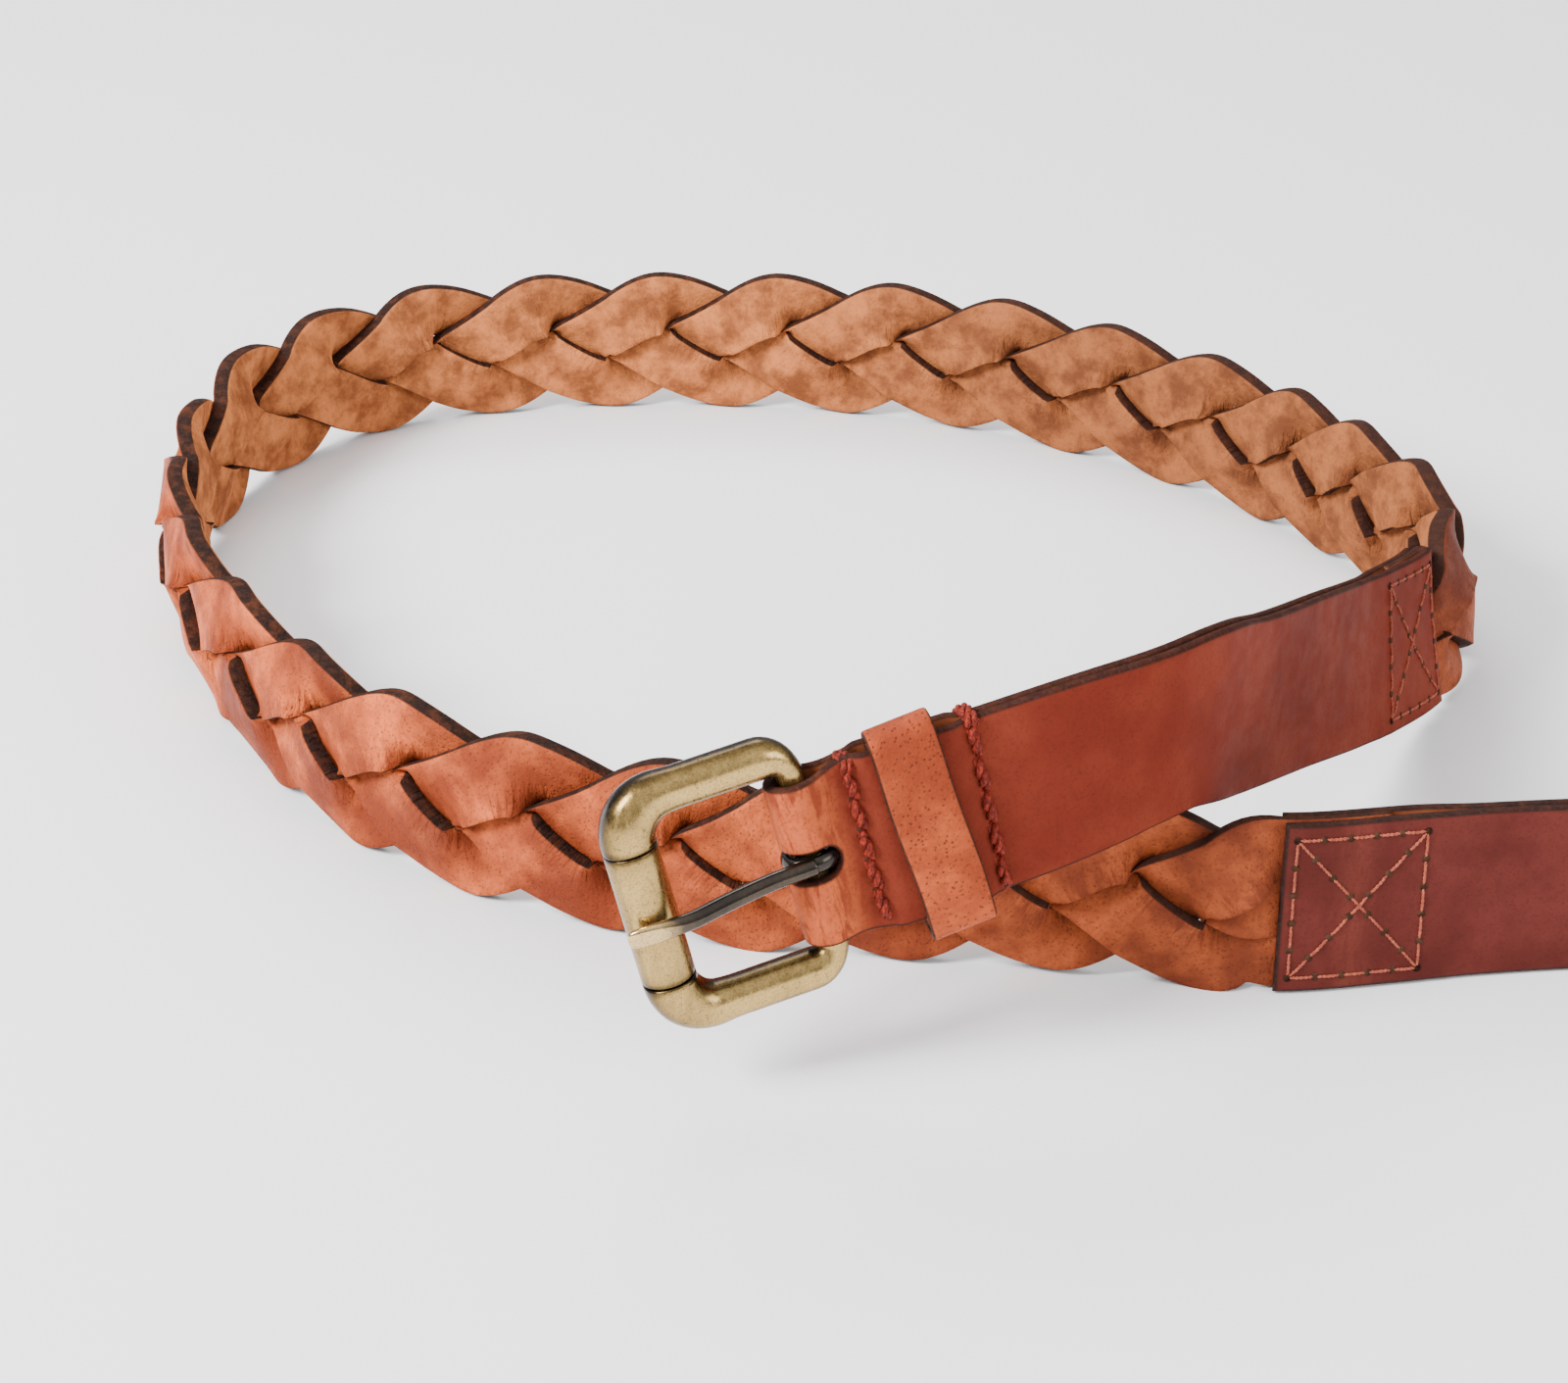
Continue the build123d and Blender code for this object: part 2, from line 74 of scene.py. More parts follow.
KEEPER_AT = 18.6
KEEPER_WIDTH = 10.5
KEEPER_LEAN = 5.0
KEEPER_GAP = 2.5
KEEPER_INSIDE = 34.6
KEEPER_LEATHER = 1.4
POINT_LENGTH = 22.0
FIRST_HOLE = 85.0  # from the pointed end
HOLE_PITCH = 25.0
HOLE_RADIUS = 2.0
HOLE_COUNT = 5
SEWN_IN = 18.0
ROOM = 1.4  # between the strap layers where the strands are sewn in

STRAND_WIDTH = 13.0
STRAND_THICK = 3.8
SWING = 9.1
HUMP = 0.06  # makes each turn at the edge rounder than a plain wave
SETTLE = 9.0  # run over which the plait flattens into the strap
SEWN_WIDTH = 11.0
SEWN_SPACING = 9.75  # between the strands' middles where they are sewn in
SEWN_SHARE = 0.42  # of the full thickness

LAYOUT_CENTRE = (98.994, 526.793)
# The belt's middle line from the pointed end to the rear bar, as (x, y, height, lean in degrees).
ROUTE = [
    (328, 399.5, 15.443, 0), (280, 408, 15.443, 0), (232, 416.5, 15.443, 0),
    (184, 423, 15.443, 0), (135, 425, 15.443, 2), (104, 422, 15.443, 4),
    (80, 419, 15.443, 5), (50, 424, 16, 6), (15, 429, 16.5, 6), (-15, 433.5, 16.5, 5),
    (-45, 444, 16.5, 4), (-72, 463, 16.5, 3), (-93, 489, 16.5, 2), (-110, 520, 16.5, 0),
    (-121, 555, 16.5, 0), (-123, 592, 16.5, 0), (-113, 627, 16.5, 0), (-90, 652, 16.5, 0),
    (-55, 663.5, 16.5, 0), (-20, 665.5, 16.5, 0), (15, 661, 16.5, 0), (50, 647.5, 16.5, 0),
    (80, 627, 16.5, 0), (105, 600, 16.5, 0), (121, 573, 16.5, 2), (130, 549, 16.5, 6),
    (129, 529, 17.4, 11), (121, 513.5, 18.2, 13), (109, 494.5, 22.2, 11), (90, 463, 32.8, 4),
    (75, 438, 41.5, 0), (66.5, 424, 47, -1), (57.5, 414, 48.6, 0), (45, 407, 47.3, 4),
    (31.5, 402.2, 44.6, 5), (17.5, 398.8, 41.5, 5), (4, 395.6, 38.3, 5),
]
TIP_JUNCTION = 6
CHAPE_JUNCTION = 27
# Distances along the belt, and the count of the plait's crossings there.
CROSSINGS = [(226, -4.9), (362, 0.5), (442, 3.5), (593, 8.5), (839, 17.5), (880, 19.5), (960, 22.7)]


# ------ the belt's line
def unit(v):
    return v / np.linalg.norm(v, axis=-1, keepdims=True)


def smooth(x, start, end):
    u = np.clip((np.asarray(x, float) - start) / (end - start), 0, 1)
    return u * u * (3 - 2 * u)


def circle(count):
    return np.linspace(0, 2 * pi, count, endpoint=False)


def run_along(points):
    """Distance of each point along the line through them."""
    return np.concatenate([[0], np.cumsum(np.linalg.norm(np.diff(points, axis=0), axis=1))])


STATION = np.array(ROUTE, float)
STATION[:, :2] -= LAYOUT_CENTRE
RUN = run_along(STATION[:, :3])
END = RUN[-1]
TIP_MOUTH = RUN[TIP_JUNCTION]
CHAPE_MOUTH = RUN[CHAPE_JUNCTION]


def slopes():
    """Slope of the route at its stations, for cubic spans between them."""
    chord = np.diff(STATION, axis=0) / np.diff(RUN)[:, None]
    gap = np.diff(RUN)[:, None]
    inner = (chord[:-1] * gap[1:] + chord[1:] * gap[:-1]) / (gap[:-1] + gap[1:])
    return np.concatenate([chord[:1], inner, chord[-1:]])


SLOPE = slopes()


def on_line(d):
    d = np.asarray(d, float)
    i = np.clip(np.searchsorted(RUN, d, side="right") - 1, 0, len(RUN) - 2)
    h = (RUN[i + 1] - RUN[i])[..., None]
    u = ((d - RUN[i])[..., None]) / h
    return ((2 * u**3 - 3 * u**2 + 1) * STATION[i] + (u**3 - 2 * u**2 + u) * h * SLOPE[i]
            + (3 * u**2 - 2 * u**3) * STATION[i + 1] + (u**3 - u**2) * h * SLOPE[i + 1])


TABLE_STEP = 0.5
TABLE_D = np.arange(0, END + TABLE_STEP / 2, TABLE_STEP)
TABLE_D[-1] = END


def make_table():
    here = on_line(TABLE_D)
    along = unit(on_line(np.minimum(TABLE_D + TABLE_STEP, END))[:, :3]
                 - on_line(np.maximum(TABLE_D - TABLE_STEP, 0))[:, :3])
    flat = unit(np.cross([0, 0, 1], along))
    lean = np.radians(here[:, 3:])
    tipped = np.array([0, 0, 1]) * np.cos(lean) - flat * np.sin(lean)
    up = unit(tipped - along * np.sum(tipped * along, axis=1, keepdims=True))
    return np.concatenate([here[:, :3], along, up, np.cross(up, along)], axis=1)


TABLE = make_table()


def axes_at(d):
    """Middle, along, up and outward at distances d, each an array ending in 3."""
    d = np.asarray(d, float)
    inside = np.clip(d, 0, END)
    f = np.clip(inside / TABLE_STEP, 0, len(TABLE) - 1.001)
    i = f.astype(int)
    g = (f - i)[..., None]
    row = TABLE[i] * (1 - g) + TABLE[np.minimum(i + 1, len(TABLE) - 1)] * g
    middle, along, up, out = (row[..., k:k + 3] for k in (0, 3, 6, 9))
    return middle + along * (d - inside)[..., None], unit(along), unit(up), unit(out)


def place(d, across, out):
    """Points at distances d along the belt, across its width and out of its face."""
    middle, _, up, outward = axes_at(d)
    return middle + up * np.asarray(across)[..., None] + outward * np.asarray(out)[..., None]


# ------ mesh helpers
def into_scene(name, data):
    thing = bpy.data.objects.new(name, data)
    bpy.context.scene.collection.objects.link(thing)
    return thing


def make_object(name, verts, faces, body, mat, attrs, uv, replaces):
    """A smooth-shaded mesh from points in millimetres, put on its body."""
    mesh = bpy.data.meshes.new(name)
    mesh.from_pydata((np.asarray(verts) * 0.001).tolist(), [], faces)
    mesh.validate()
    mesh.update()
    mesh.polygons.foreach_set("use_smooth", [True] * len(mesh.polygons))
    for key, values in attrs.items():
        attribute = mesh.attributes.new(key, "FLOAT", "POINT")
        attribute.data.foreach_set("value", np.asarray(values, float).ravel())
    if uv is not None:
        layer = mesh.uv_layers.new(name="UVMap")
        corner = np.empty(len(mesh.loops), dtype=int)
        mesh.loops.foreach_get("vertex_index", corner)
        layer.data.foreach_set("uv", np.asarray(uv, float)[corner].ravel())
    mesh.materials.append(mat)
    piece = into_scene(name, mesh)
    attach(piece, body)
    if replaces:
        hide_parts(*replaces)


def tube_faces(rings, around, closed_run=False, base=0):
    faces = []
    for i in range(rings if closed_run else rings - 1):
        a = base + i * around
        b = base + ((i + 1) % rings) * around
        for j in range(around):
            k = (j + 1) % around
            faces.append((a + j, a + k, b + k, b + j))
    if not closed_run:
        faces.append(tuple(base + j for j in reversed(range(around))))
        faces.append(tuple(base + (rings - 1) * around + j for j in range(around)))
    return faces


class Gather:
    """Several tubes joined in one mesh."""

    def __init__(self):
        self.verts = []
        self.faces = []
        self.count = 0
        self.attrs = {}

    def add(self, grid, closed_run=False, **attrs):
        rings, around = grid.shape[:2]
        self.faces += tube_faces(rings, around, closed_run, self.count)
        self.verts.append(grid.reshape(-1, 3))
        for key, values in attrs.items():
            self.attrs.setdefault(key, []).append(np.broadcast_to(values, grid.shape[:2]).ravel())
        self.count += rings * around

    def object(self, name, body, mat, replaces=()):
        attrs = {key: np.concatenate(parts) for key, parts in self.attrs.items()}
        make_object(name, np.concatenate(self.verts), self.faces, body, mat, attrs, None, replaces)


def frames_of(points):
    """Tangent and two cross directions that turn as little as possible along points."""
    tangent = unit(np.gradient(points, axis=0))
    side = np.zeros_like(points)
    seed = np.array([0.0, 0.0, 1.0]) if abs(tangent[0][2]) < 0.9 else np.array([1.0, 0.0, 0.0])
    side[0] = unit(seed - tangent[0] * seed.dot(tangent[0]))
    for i in range(1, len(points)):
        side[i] = unit(side[i - 1] - tangent[i] * side[i - 1].dot(tangent[i]))
    return tangent, side, np.cross(tangent, side)


def round_tube(points, radius, around=10):
    _, side, other = frames_of(points)
    turn = circle(around)[None, :, None]
    return points[:, None] + (side[:, None] * np.cos(turn) + other[:, None] * np.sin(turn)) * radius


def thread(gather, points, radius, twist, plies=2):
    """A twisted thread along points, in plies that wind round each other."""
    _, side, other = frames_of(points)
    run = run_along(points)
    for ply in range(plies):
        turn = 2 * pi * (run / twist + ply / plies)
        centre = points + (side * np.cos(turn)[:, None] + other * np.sin(turn)[:, None]) * radius * 0.48
        gather.add(round_tube(centre, radius * 0.62, 8))


# ------ materials
class Nodes:
    """Short calls for the nodes of a material or of the world."""

    def __init__(self, owner):
        owner.use_nodes = True
        self.owner = owner
        self.tree = owner.node_tree

    def put(self, socket, value):
        """Link an output to the socket, or set a number or a colour."""
        if hasattr(value, "is_output"):
            self.tree.links.new(value, socket)
        elif socket.type == "RGBA":
            socket.default_value = (*value, 1.0)
        else:
            socket.default_value = value

    def fill(self, node, inputs):
        for key, value in inputs.items():
            self.put(node.inputs[key.replace("_", " ")], value)
        return node

    def add(self, kind, **inputs):
        """A new node; in the names of its inputs _ stands for a space."""
        return self.fill(self.tree.nodes.new("ShaderNode" + kind), inputs)

    def finish(self, **inputs):
        self.fill(self.shader, inputs)
        return self.owner

    def attribute(self, name):
        node = self.add("Attribute")
        node.attribute_name = name
        return node.outputs["Fac"]

    def place(self, scale=(1, 1, 1), uv=False):
        source = self.add("TexCoord").outputs["UV" if uv else "Object"]
        return self.add("Mapping", Vector=source, Scale=scale).outputs[0]

    def noise(self, scale, detail, rough, at=None, distort=0.0):
        if at is None:
            at = self.place()
        node = self.add("TexNoise", Scale=scale, Detail=detail, Roughness=rough,
                        Distortion=distort, Vector=at)
        return node.outputs["Fac"]

    def voronoi(self, scale):
        return self.add("TexVoronoi", Scale=scale, Vector=self.place()).outputs["Distance"]

    def math(self, kind, a, b=0.0, c=0.0, clamp=False):
        node = self.add("Math")
        node.operation = kind
        node.use_clamp = clamp
        for socket, value in zip(node.inputs, (a, b, c)):
            self.put(socket, value)
        return node.outputs[0]

    def fade(self, value, share):
        """value times a fixed share."""
        return self.math("MULTIPLY", value, share)

    def spread(self, value, low, high, to_low=0.0, to_high=1.0):
        node = self.add("MapRange", Value=value, From_Min=low, From_Max=high,
                        To_Min=to_low, To_Max=to_high)
        node.interpolation_type = "SMOOTHSTEP"
        return node.outputs[0]

    def mix(self, share, a, b):
        node = self.add("Mix")
        node.data_type = "RGBA"
        for index, value in ((0, share), (6, a), (7, b)):  # the factor and the two colours
            self.put(node.inputs[index], value)
        return node.outputs[2]

    def ramp(self, value, stops):
        node = self.add("ValToRGB", Fac=value)
        band = node.color_ramp
        while len(band.elements) < len(stops):
            band.elements.new(0.5)
        for element, (at, colour) in zip(band.elements, stops):
            element.position = at
            element.color = (*colour, 1.0)
        return node.outputs[0]

    def bump(self, height, strength, distance, before=None):
        node = self.add("Bump", Strength=strength, Distance=distance, Height=height)
        if before is not None:
            self.put(node.inputs["Normal"], before)
        return node.outputs[0]


def new_material(name):
    n = Nodes(bpy.data.materials.new(name))
    n.tree.nodes.clear()
    n.shader = n.add("BsdfPrincipled")
    n.add("OutputMaterial", Surface=n.shader.outputs[0])
    return n


def leather(name, grain, grain_dark, flesh, flesh_dark, edge, rough, pores, gloss, mottle, relief_depth,
            wrinkles=0.0, worn_and_sheen=None, shade=None):
    """Leather with a grain side, a flesh side and cut edges, told apart by attributes."""
    n = new_material(name)
    side = n.attribute("side")
    rim = n.attribute("rim")
    wear_sheen_and_crease = n.attribute("wear_sheen_and_crease")
    broad = n.noise(55, 3, 0.6)
    medium = n.noise(260, 4, 0.6)
    fine = n.noise(1500, 4, 0.7)
    # grain side: broad clouds, worn places and painted sheen, pores in patches, mottling, and painted
    # shade in creases
    deep = tuple(0.35 * c + 0.65 * e for c, e in zip(grain_dark, edge))
    grain_colour = n.mix(n.spread(broad, 0.35, 0.68), grain_dark, grain)
    speck = n.spread(n.voronoi(1250), 0.10, 0.34)
    # Worn places are painted lighter; on the tip strap this lighter mix is a painted sheen.
    if worn_and_sheen:
        grain_colour = n.mix(n.spread(wear_sheen_and_crease, 0.45, 0.95), grain_colour, worn_and_sheen)
    patch = n.spread(n.noise(120, 3, 0.6), 0.30, 0.58, 0.35, 1.0)
    pore = n.math("MULTIPLY", n.fade(n.math("SUBTRACT", 1.0, speck), pores), patch)
    grain_colour = n.mix(pore, grain_colour, deep)
    grain_colour = n.mix(n.fade(n.spread(medium, 0.38, 0.68), 0.55 * mottle), grain_colour, grain_dark)
    grain_colour = n.mix(n.fade(n.spread(fine, 0.45, 0.68), 0.30), grain_colour, deep)
    across = n.noise(1.0, 3, 0.6, n.place((0.62, 0.11, 1), uv=True), 0.6)
    # Painted shade: the grain is darkened in the creases where the marks run.
    crease_shade = n.math("MULTIPLY", n.spread(across, 0.46, 0.62), wear_sheen_and_crease)
    grain_colour = n.mix(n.fade(crease_shade, 0.75), grain_colour, grain_dark)
    # flesh side: matt, cloudy and fuzzy
    fuzz = n.noise(900, 6, 0.75)
    flesh_colour = n.mix(n.spread(n.noise(140, 4, 0.65), 0.32, 0.66), flesh_dark, flesh)
    flesh_colour = n.mix(n.fade(n.spread(fuzz, 0.5, 0.7), 0.5), flesh_colour, flesh_dark)
    colour = n.mix(side, flesh_colour, grain_colour)
    # cut edges: dark, with a slightly uneven border
    uneven = n.spread(n.noise(420, 3, 0.6), 0.3, 0.6, 0.88, 1.0)
    cut = n.math("MULTIPLY", uneven, n.spread(rim, 0.15, 0.75))
    edge_colour = n.mix(n.spread(fine, 0.45, 0.7), edge, tuple(c * 1.5 + 0.004 for c in edge))
    colour = n.mix(cut, colour, edge_colour)
    # Painted shade: the colour is darkened towards +x over that stretch.
    if shade:
        split = n.add("SeparateXYZ", Vector=n.add("TexCoord").outputs["Object"])
        along = n.spread(split.outputs["X"], SHADE_FROM, SHADE_TO, 0.0, SHADE_SHARE)
        colour = n.mix(along, colour, shade)
    base_rough = n.math("MULTIPLY_ADD", n.spread(medium, 0.3, 0.7), 0.14, rough - 0.07)
    fleshy = n.fade(n.math("SUBTRACT", 1.0, side), 0.86 - rough)
    relief = n.fade(speck, 0.6 * pores + 0.2)
    relief = n.math("MULTIPLY_ADD", fine, 0.9, relief)
    relief = n.math("MULTIPLY_ADD", medium, 1.2, relief)
    normal = n.bump(relief, 0.55, relief_depth)
    if wrinkles:
        normal = n.bump(n.math("MULTIPLY", across, wear_sheen_and_crease), wrinkles, 0.0012, normal)
    return n.finish(Base_Color=colour, Roughness=n.math("ADD", base_rough, fleshy, clamp=True),
                    Normal=normal, Specular_IOR_Level=gloss)


def metal(name, bright, dull, dark, rough, scratch, brush_scale):
    """Antique brass: brushed bright faces, darker patina in hollows and specks; the wear attribute also
    carries painted highlights and shade.
    """
    n = new_material(name)
    wear = n.attribute("wear")
    cloud = n.noise(90, 4, 0.65)
    speck = n.noise(1300, 4, 0.75)
    brushed = n.noise(1.0, 3, 0.7, n.place(brush_scale))
    level = n.math("MULTIPLY_ADD", n.math("SUBTRACT", cloud, 0.5), 0.45, wear)
    level = n.math("MULTIPLY_ADD", n.math("SUBTRACT", brushed, 0.5), 0.35, level)
    colour = n.ramp(level, [(0.12, dark), (0.48, dull), (0.92, bright)])
    colour = n.mix(n.fade(n.spread(speck, 0.56, 0.72), 0.7), colour, dark)
    grit = n.noise(3200, 2, 0.6)
    colour = n.mix(n.fade(n.spread(grit, 0.46, 0.68), 0.35), colour, dark)
    rough_value = n.math("MULTIPLY_ADD", n.spread(brushed, 0.3, 0.7), 0.16, rough - 0.08)
    rough_value = n.math("MULTIPLY_ADD", n.spread(speck, 0.55, 0.7), 0.2, rough_value)
    relief = n.math("MULTIPLY_ADD", speck, 0.5, brushed)
    return n.finish(Base_Color=colour, Metallic=0.92, Roughness=rough_value,
                    Normal=n.bump(relief, scratch, 0.00012))


def yarn(name, light, dark):
    """Thread with fine fibres along it."""
    n = new_material(name)
    fibre = n.noise(1.0, 4, 0.7, n.place((2600, 2600, 900)))
    cloud = n.noise(300, 3, 0.6)
    colour = n.mix(n.spread(fibre, 0.38, 0.66), dark, light)
    colour = n.mix(n.fade(n.spread(cloud, 0.45, 0.7), 0.4), colour, dark)
    return n.finish(Base_Color=colour, Roughness=0.62, Specular_IOR_Level=0.15,
                    Normal=n.bump(fibre, 0.5, 0.00025))


def plain(name, colour, rough, metallic=0.0):
    """One colour, a little uneven."""
    n = new_material(name)
    value = n.spread(n.noise(900, 3, 0.6), 0.3, 0.7)
    colour = n.mix(value, colour, tuple(c * 2.2 for c in colour))
    return n.finish(Base_Color=colour, Roughness=rough, Specular_IOR_Level=0.02, Metallic=metallic)


# Painted shade: the plait is darkened over a stretch of x, in metres.
SHADE_FROM = -0.12
SHADE_TO = -0.03
SHADE_SHARE = 0.47

PLAIT = leather(
    "plait_leather", grain=(0.68, 0.145, 0.044), grain_dark=(0.20, 0.036, 0.014),
    flesh=(0.58, 0.19, 0.062), flesh_dark=(0.22, 0.068, 0.025), edge=(0.020, 0.010, 0.008),
    rough=0.46, pores=0.45, gloss=0.03, mottle=0.75, relief_depth=0.0006, wrinkles=1.0,
    shade=(0.045, 0.018, 0.013))
STRAP = leather(
    "strap_leather", grain=(0.195, 0.034, 0.018), grain_dark=(0.145, 0.022, 0.013),
    flesh=(0.30, 0.09, 0.035), flesh_dark=(0.2, 0.055, 0.022), edge=(0.030, 0.012, 0.009),
    rough=0.46, pores=0.35, gloss=0.012, mottle=0.35, relief_depth=0.00006,
    worn_and_sheen=(0.50, 0.105, 0.036))
TIP_LEATHER = leather(
    "tip_leather", grain=(0.118, 0.023, 0.018), grain_dark=(0.078, 0.014, 0.011),
    flesh=(0.26, 0.075, 0.03), flesh_dark=(0.17, 0.045, 0.02), edge=(0.022, 0.010, 0.008),
    rough=0.40, pores=0.35, gloss=0.05, mottle=0.4, relief_depth=0.00006,
    worn_and_sheen=(0.26, 0.060, 0.038))
KEEPER = leather(
    "keeper_leather", grain=(0.54, 0.105, 0.032), grain_dark=(0.24, 0.040, 0.015),
    flesh=(0.35, 0.1, 0.04), flesh_dark=(0.25, 0.07, 0.03), edge=(0.030, 0.012, 0.008),
    rough=0.46, pores=1.0, gloss=0.05, mottle=0.6, relief_depth=0.0005, wrinkles=0.2)
BRASS = metal(
    "antique_brass", bright=(0.54, 0.36, 0.125), dull=(0.15, 0.095, 0.030),
    dark=(0.020, 0.013, 0.008), rough=0.25, scratch=0.22, brush_scale=(900, 900, 120))
DARK_BRASS = metal(
    "dark_brass", bright=(0.64, 0.44, 0.20), dull=(0.085, 0.066, 0.048),
    dark=(0.03, 0.026, 0.024), rough=0.18, scratch=0.05, brush_scale=(300, 300, 300))
ROW_THREAD = yarn("row_thread", (0.32, 0.032, 0.014), (0.07, 0.007, 0.005))
BOX_THREAD = yarn("box_thread", (0.46, 0.12, 0.07), (0.24, 0.05, 0.028))
# Painted shade: dark plugs stand in for the shade inside the needle holes.
HOLE_SHADE = plain("needle_hole_shade", (0.035, 0.016, 0.010), 0.85)


# ------ plait
CELL = 84.0  # run of one strand from an edge back to the same edge
PHASES = 96  # samples along the cell
ACROSS = 17  # and across the strand
CLEAR = 0.06  # left between strands that cross
ROUNDS = 500


def half_thickness(t):
    """Half the strand's thickness at a place across it: a little thinner at its sides."""
    q = np.clip(np.abs(2 * t / STRAND_WIDTH), 0, 1)
    return STRAND_THICK / 2 * (1 - 0.08 * q**2)


def relaxed_cell():
    """Height of a strand over one cell, pressed flat but never through its neighbours."""
    phase = circle(PHASES)
    across = np.linspace(-STRAND_WIDTH / 2, STRAND_WIDTH / 2, ACROSS)

    def path(u):
        """Where the strand's middle runs, and how it slants."""
        turn = u * 2 * pi / CELL
        rise = SWING * (np.cos(turn) + HUMP * np.cos(3 * turn))
        return rise, np.arctan(-SWING * 2 * pi / CELL * (np.sin(turn) + 3 * HUMP * np.sin(3 * turn)))

    u0 = phase * CELL / (2 * pi)
    y0, slope = path(u0)
    x = u0[:, None] - across[None] * np.sin(slope)[:, None]
    y = y0[:, None] + across[None] * np.cos(slope)[:, None]

    def find(x, y):
        """Place along and across the strand under a point of the plan."""
        u = x.copy()
        for _ in range(60):
            yc, angle = path(u)
            t = (y - yc) * np.cos(angle) - (x - u) * np.sin(angle)
            u = u + 0.5 * (x + t * np.sin(angle) - u)
        yc, angle = path(u)
        return u, (y - yc) * np.cos(angle) - (x - u) * np.sin(angle)

    def sample(h, u, t):
        """Height h of the strand at a place along and across it."""
        a = (u / CELL * PHASES) % PHASES
        i = np.floor(a).astype(int) % PHASES
        f = a - np.floor(a)
        b = np.clip((t / STRAND_WIDTH + 0.5) * (ACROSS - 1), 0, ACROSS - 1 - 1e-6)
        j = np.floor(b).astype(int)
        g = b - j
        k = (i + 1) % PHASES
        return ((h[i, j] * (1 - f) + h[k, j] * f) * (1 - g)
                + (h[i, j + 1] * (1 - f) + h[k, j + 1] * f) * g)

    others = []
    for sign in (1, -1):
        u, t = find(x + sign * CELL / 3, y)
        others.append((sign, u, np.clip(t, -STRAND_WIDTH / 2, STRAND_WIDTH / 2),
                       np.abs(t) <= STRAND_WIDTH / 2))
    h = 3.0 * np.sin(2 * phase)[:, None] * np.ones((1, ACROSS))
    own = half_thickness(across)[None] + CLEAR
    for _ in range(ROUNDS):
        for _ in range(3):
            bend = np.roll(h, 1, 0) + np.roll(h, -1, 0) - 2 * h
            wide = np.pad(h, ((0, 0), (1, 1)), mode="reflect", reflect_type="odd")
            h = h + 0.22 * bend + 0.10 * (wide[:, 2:] + wide[:, :-2] - 2 * h)
        flat = np.sum(h * across, axis=1, keepdims=True) / np.sum(across**2) * across
        h = 0.996 * (0.72 * h + 0.28 * (flat + h.mean(axis=1, keepdims=True)))
        for _ in range(2):
            push = np.zeros_like(h)
            for sign, u, t, met in others:
                there = sample(h, u, t)
                need = own + half_thickness(t) + CLEAR
                over = (h - there + need) if sign > 0 else (there + need - h)
                push -= sign * 0.5 * np.where(met & (over > 0), over, 0)
            h = h + push
    return h, sample


CELL_HEIGHT, sample_cell = relaxed_cell()


def count_at(d):
    """The count of crossings at a distance along the belt."""
    knots = np.array(CROSSINGS)
    return np.interp(d, knots[:, 0], knots[:, 1])


def slot_of(mouth):
    """The place, low, middle or high, where each strand enters a strap."""
    heights = [math.cos(2 * pi * (float(count_at(mouth)) + k) / 3) for k in range(3)]
    order = sorted(range(3), key=heights.__getitem__)
    return {strand: slot - 1 for slot, strand in enumerate(order)}


TIP_SLOTS = slot_of(TIP_MOUTH)
CHAPE_SLOTS = slot_of(CHAPE_MOUTH)


def section(face, half, rim):
    """Columns round a section: places across and out, side and rim value."""
    ring = [(t, half, 1.0, 0.0) for t in face] + rim
    ring += [(t, -half, 0.0, 0.0) for t in face[::-1]] + [(-row[0], *row[1:]) for row in rim[::-1]]
    return np.array(ring).T


def ring_marks(side, rim, wear_sheen_and_crease, shape):
    """Attributes of a section carried along a run."""
    named = {"side": side, "rim": rim, "wear_sheen_and_crease": wear_sheen_and_crease}
    return {key: np.broadcast_to(values, shape) for key, values in named.items()}


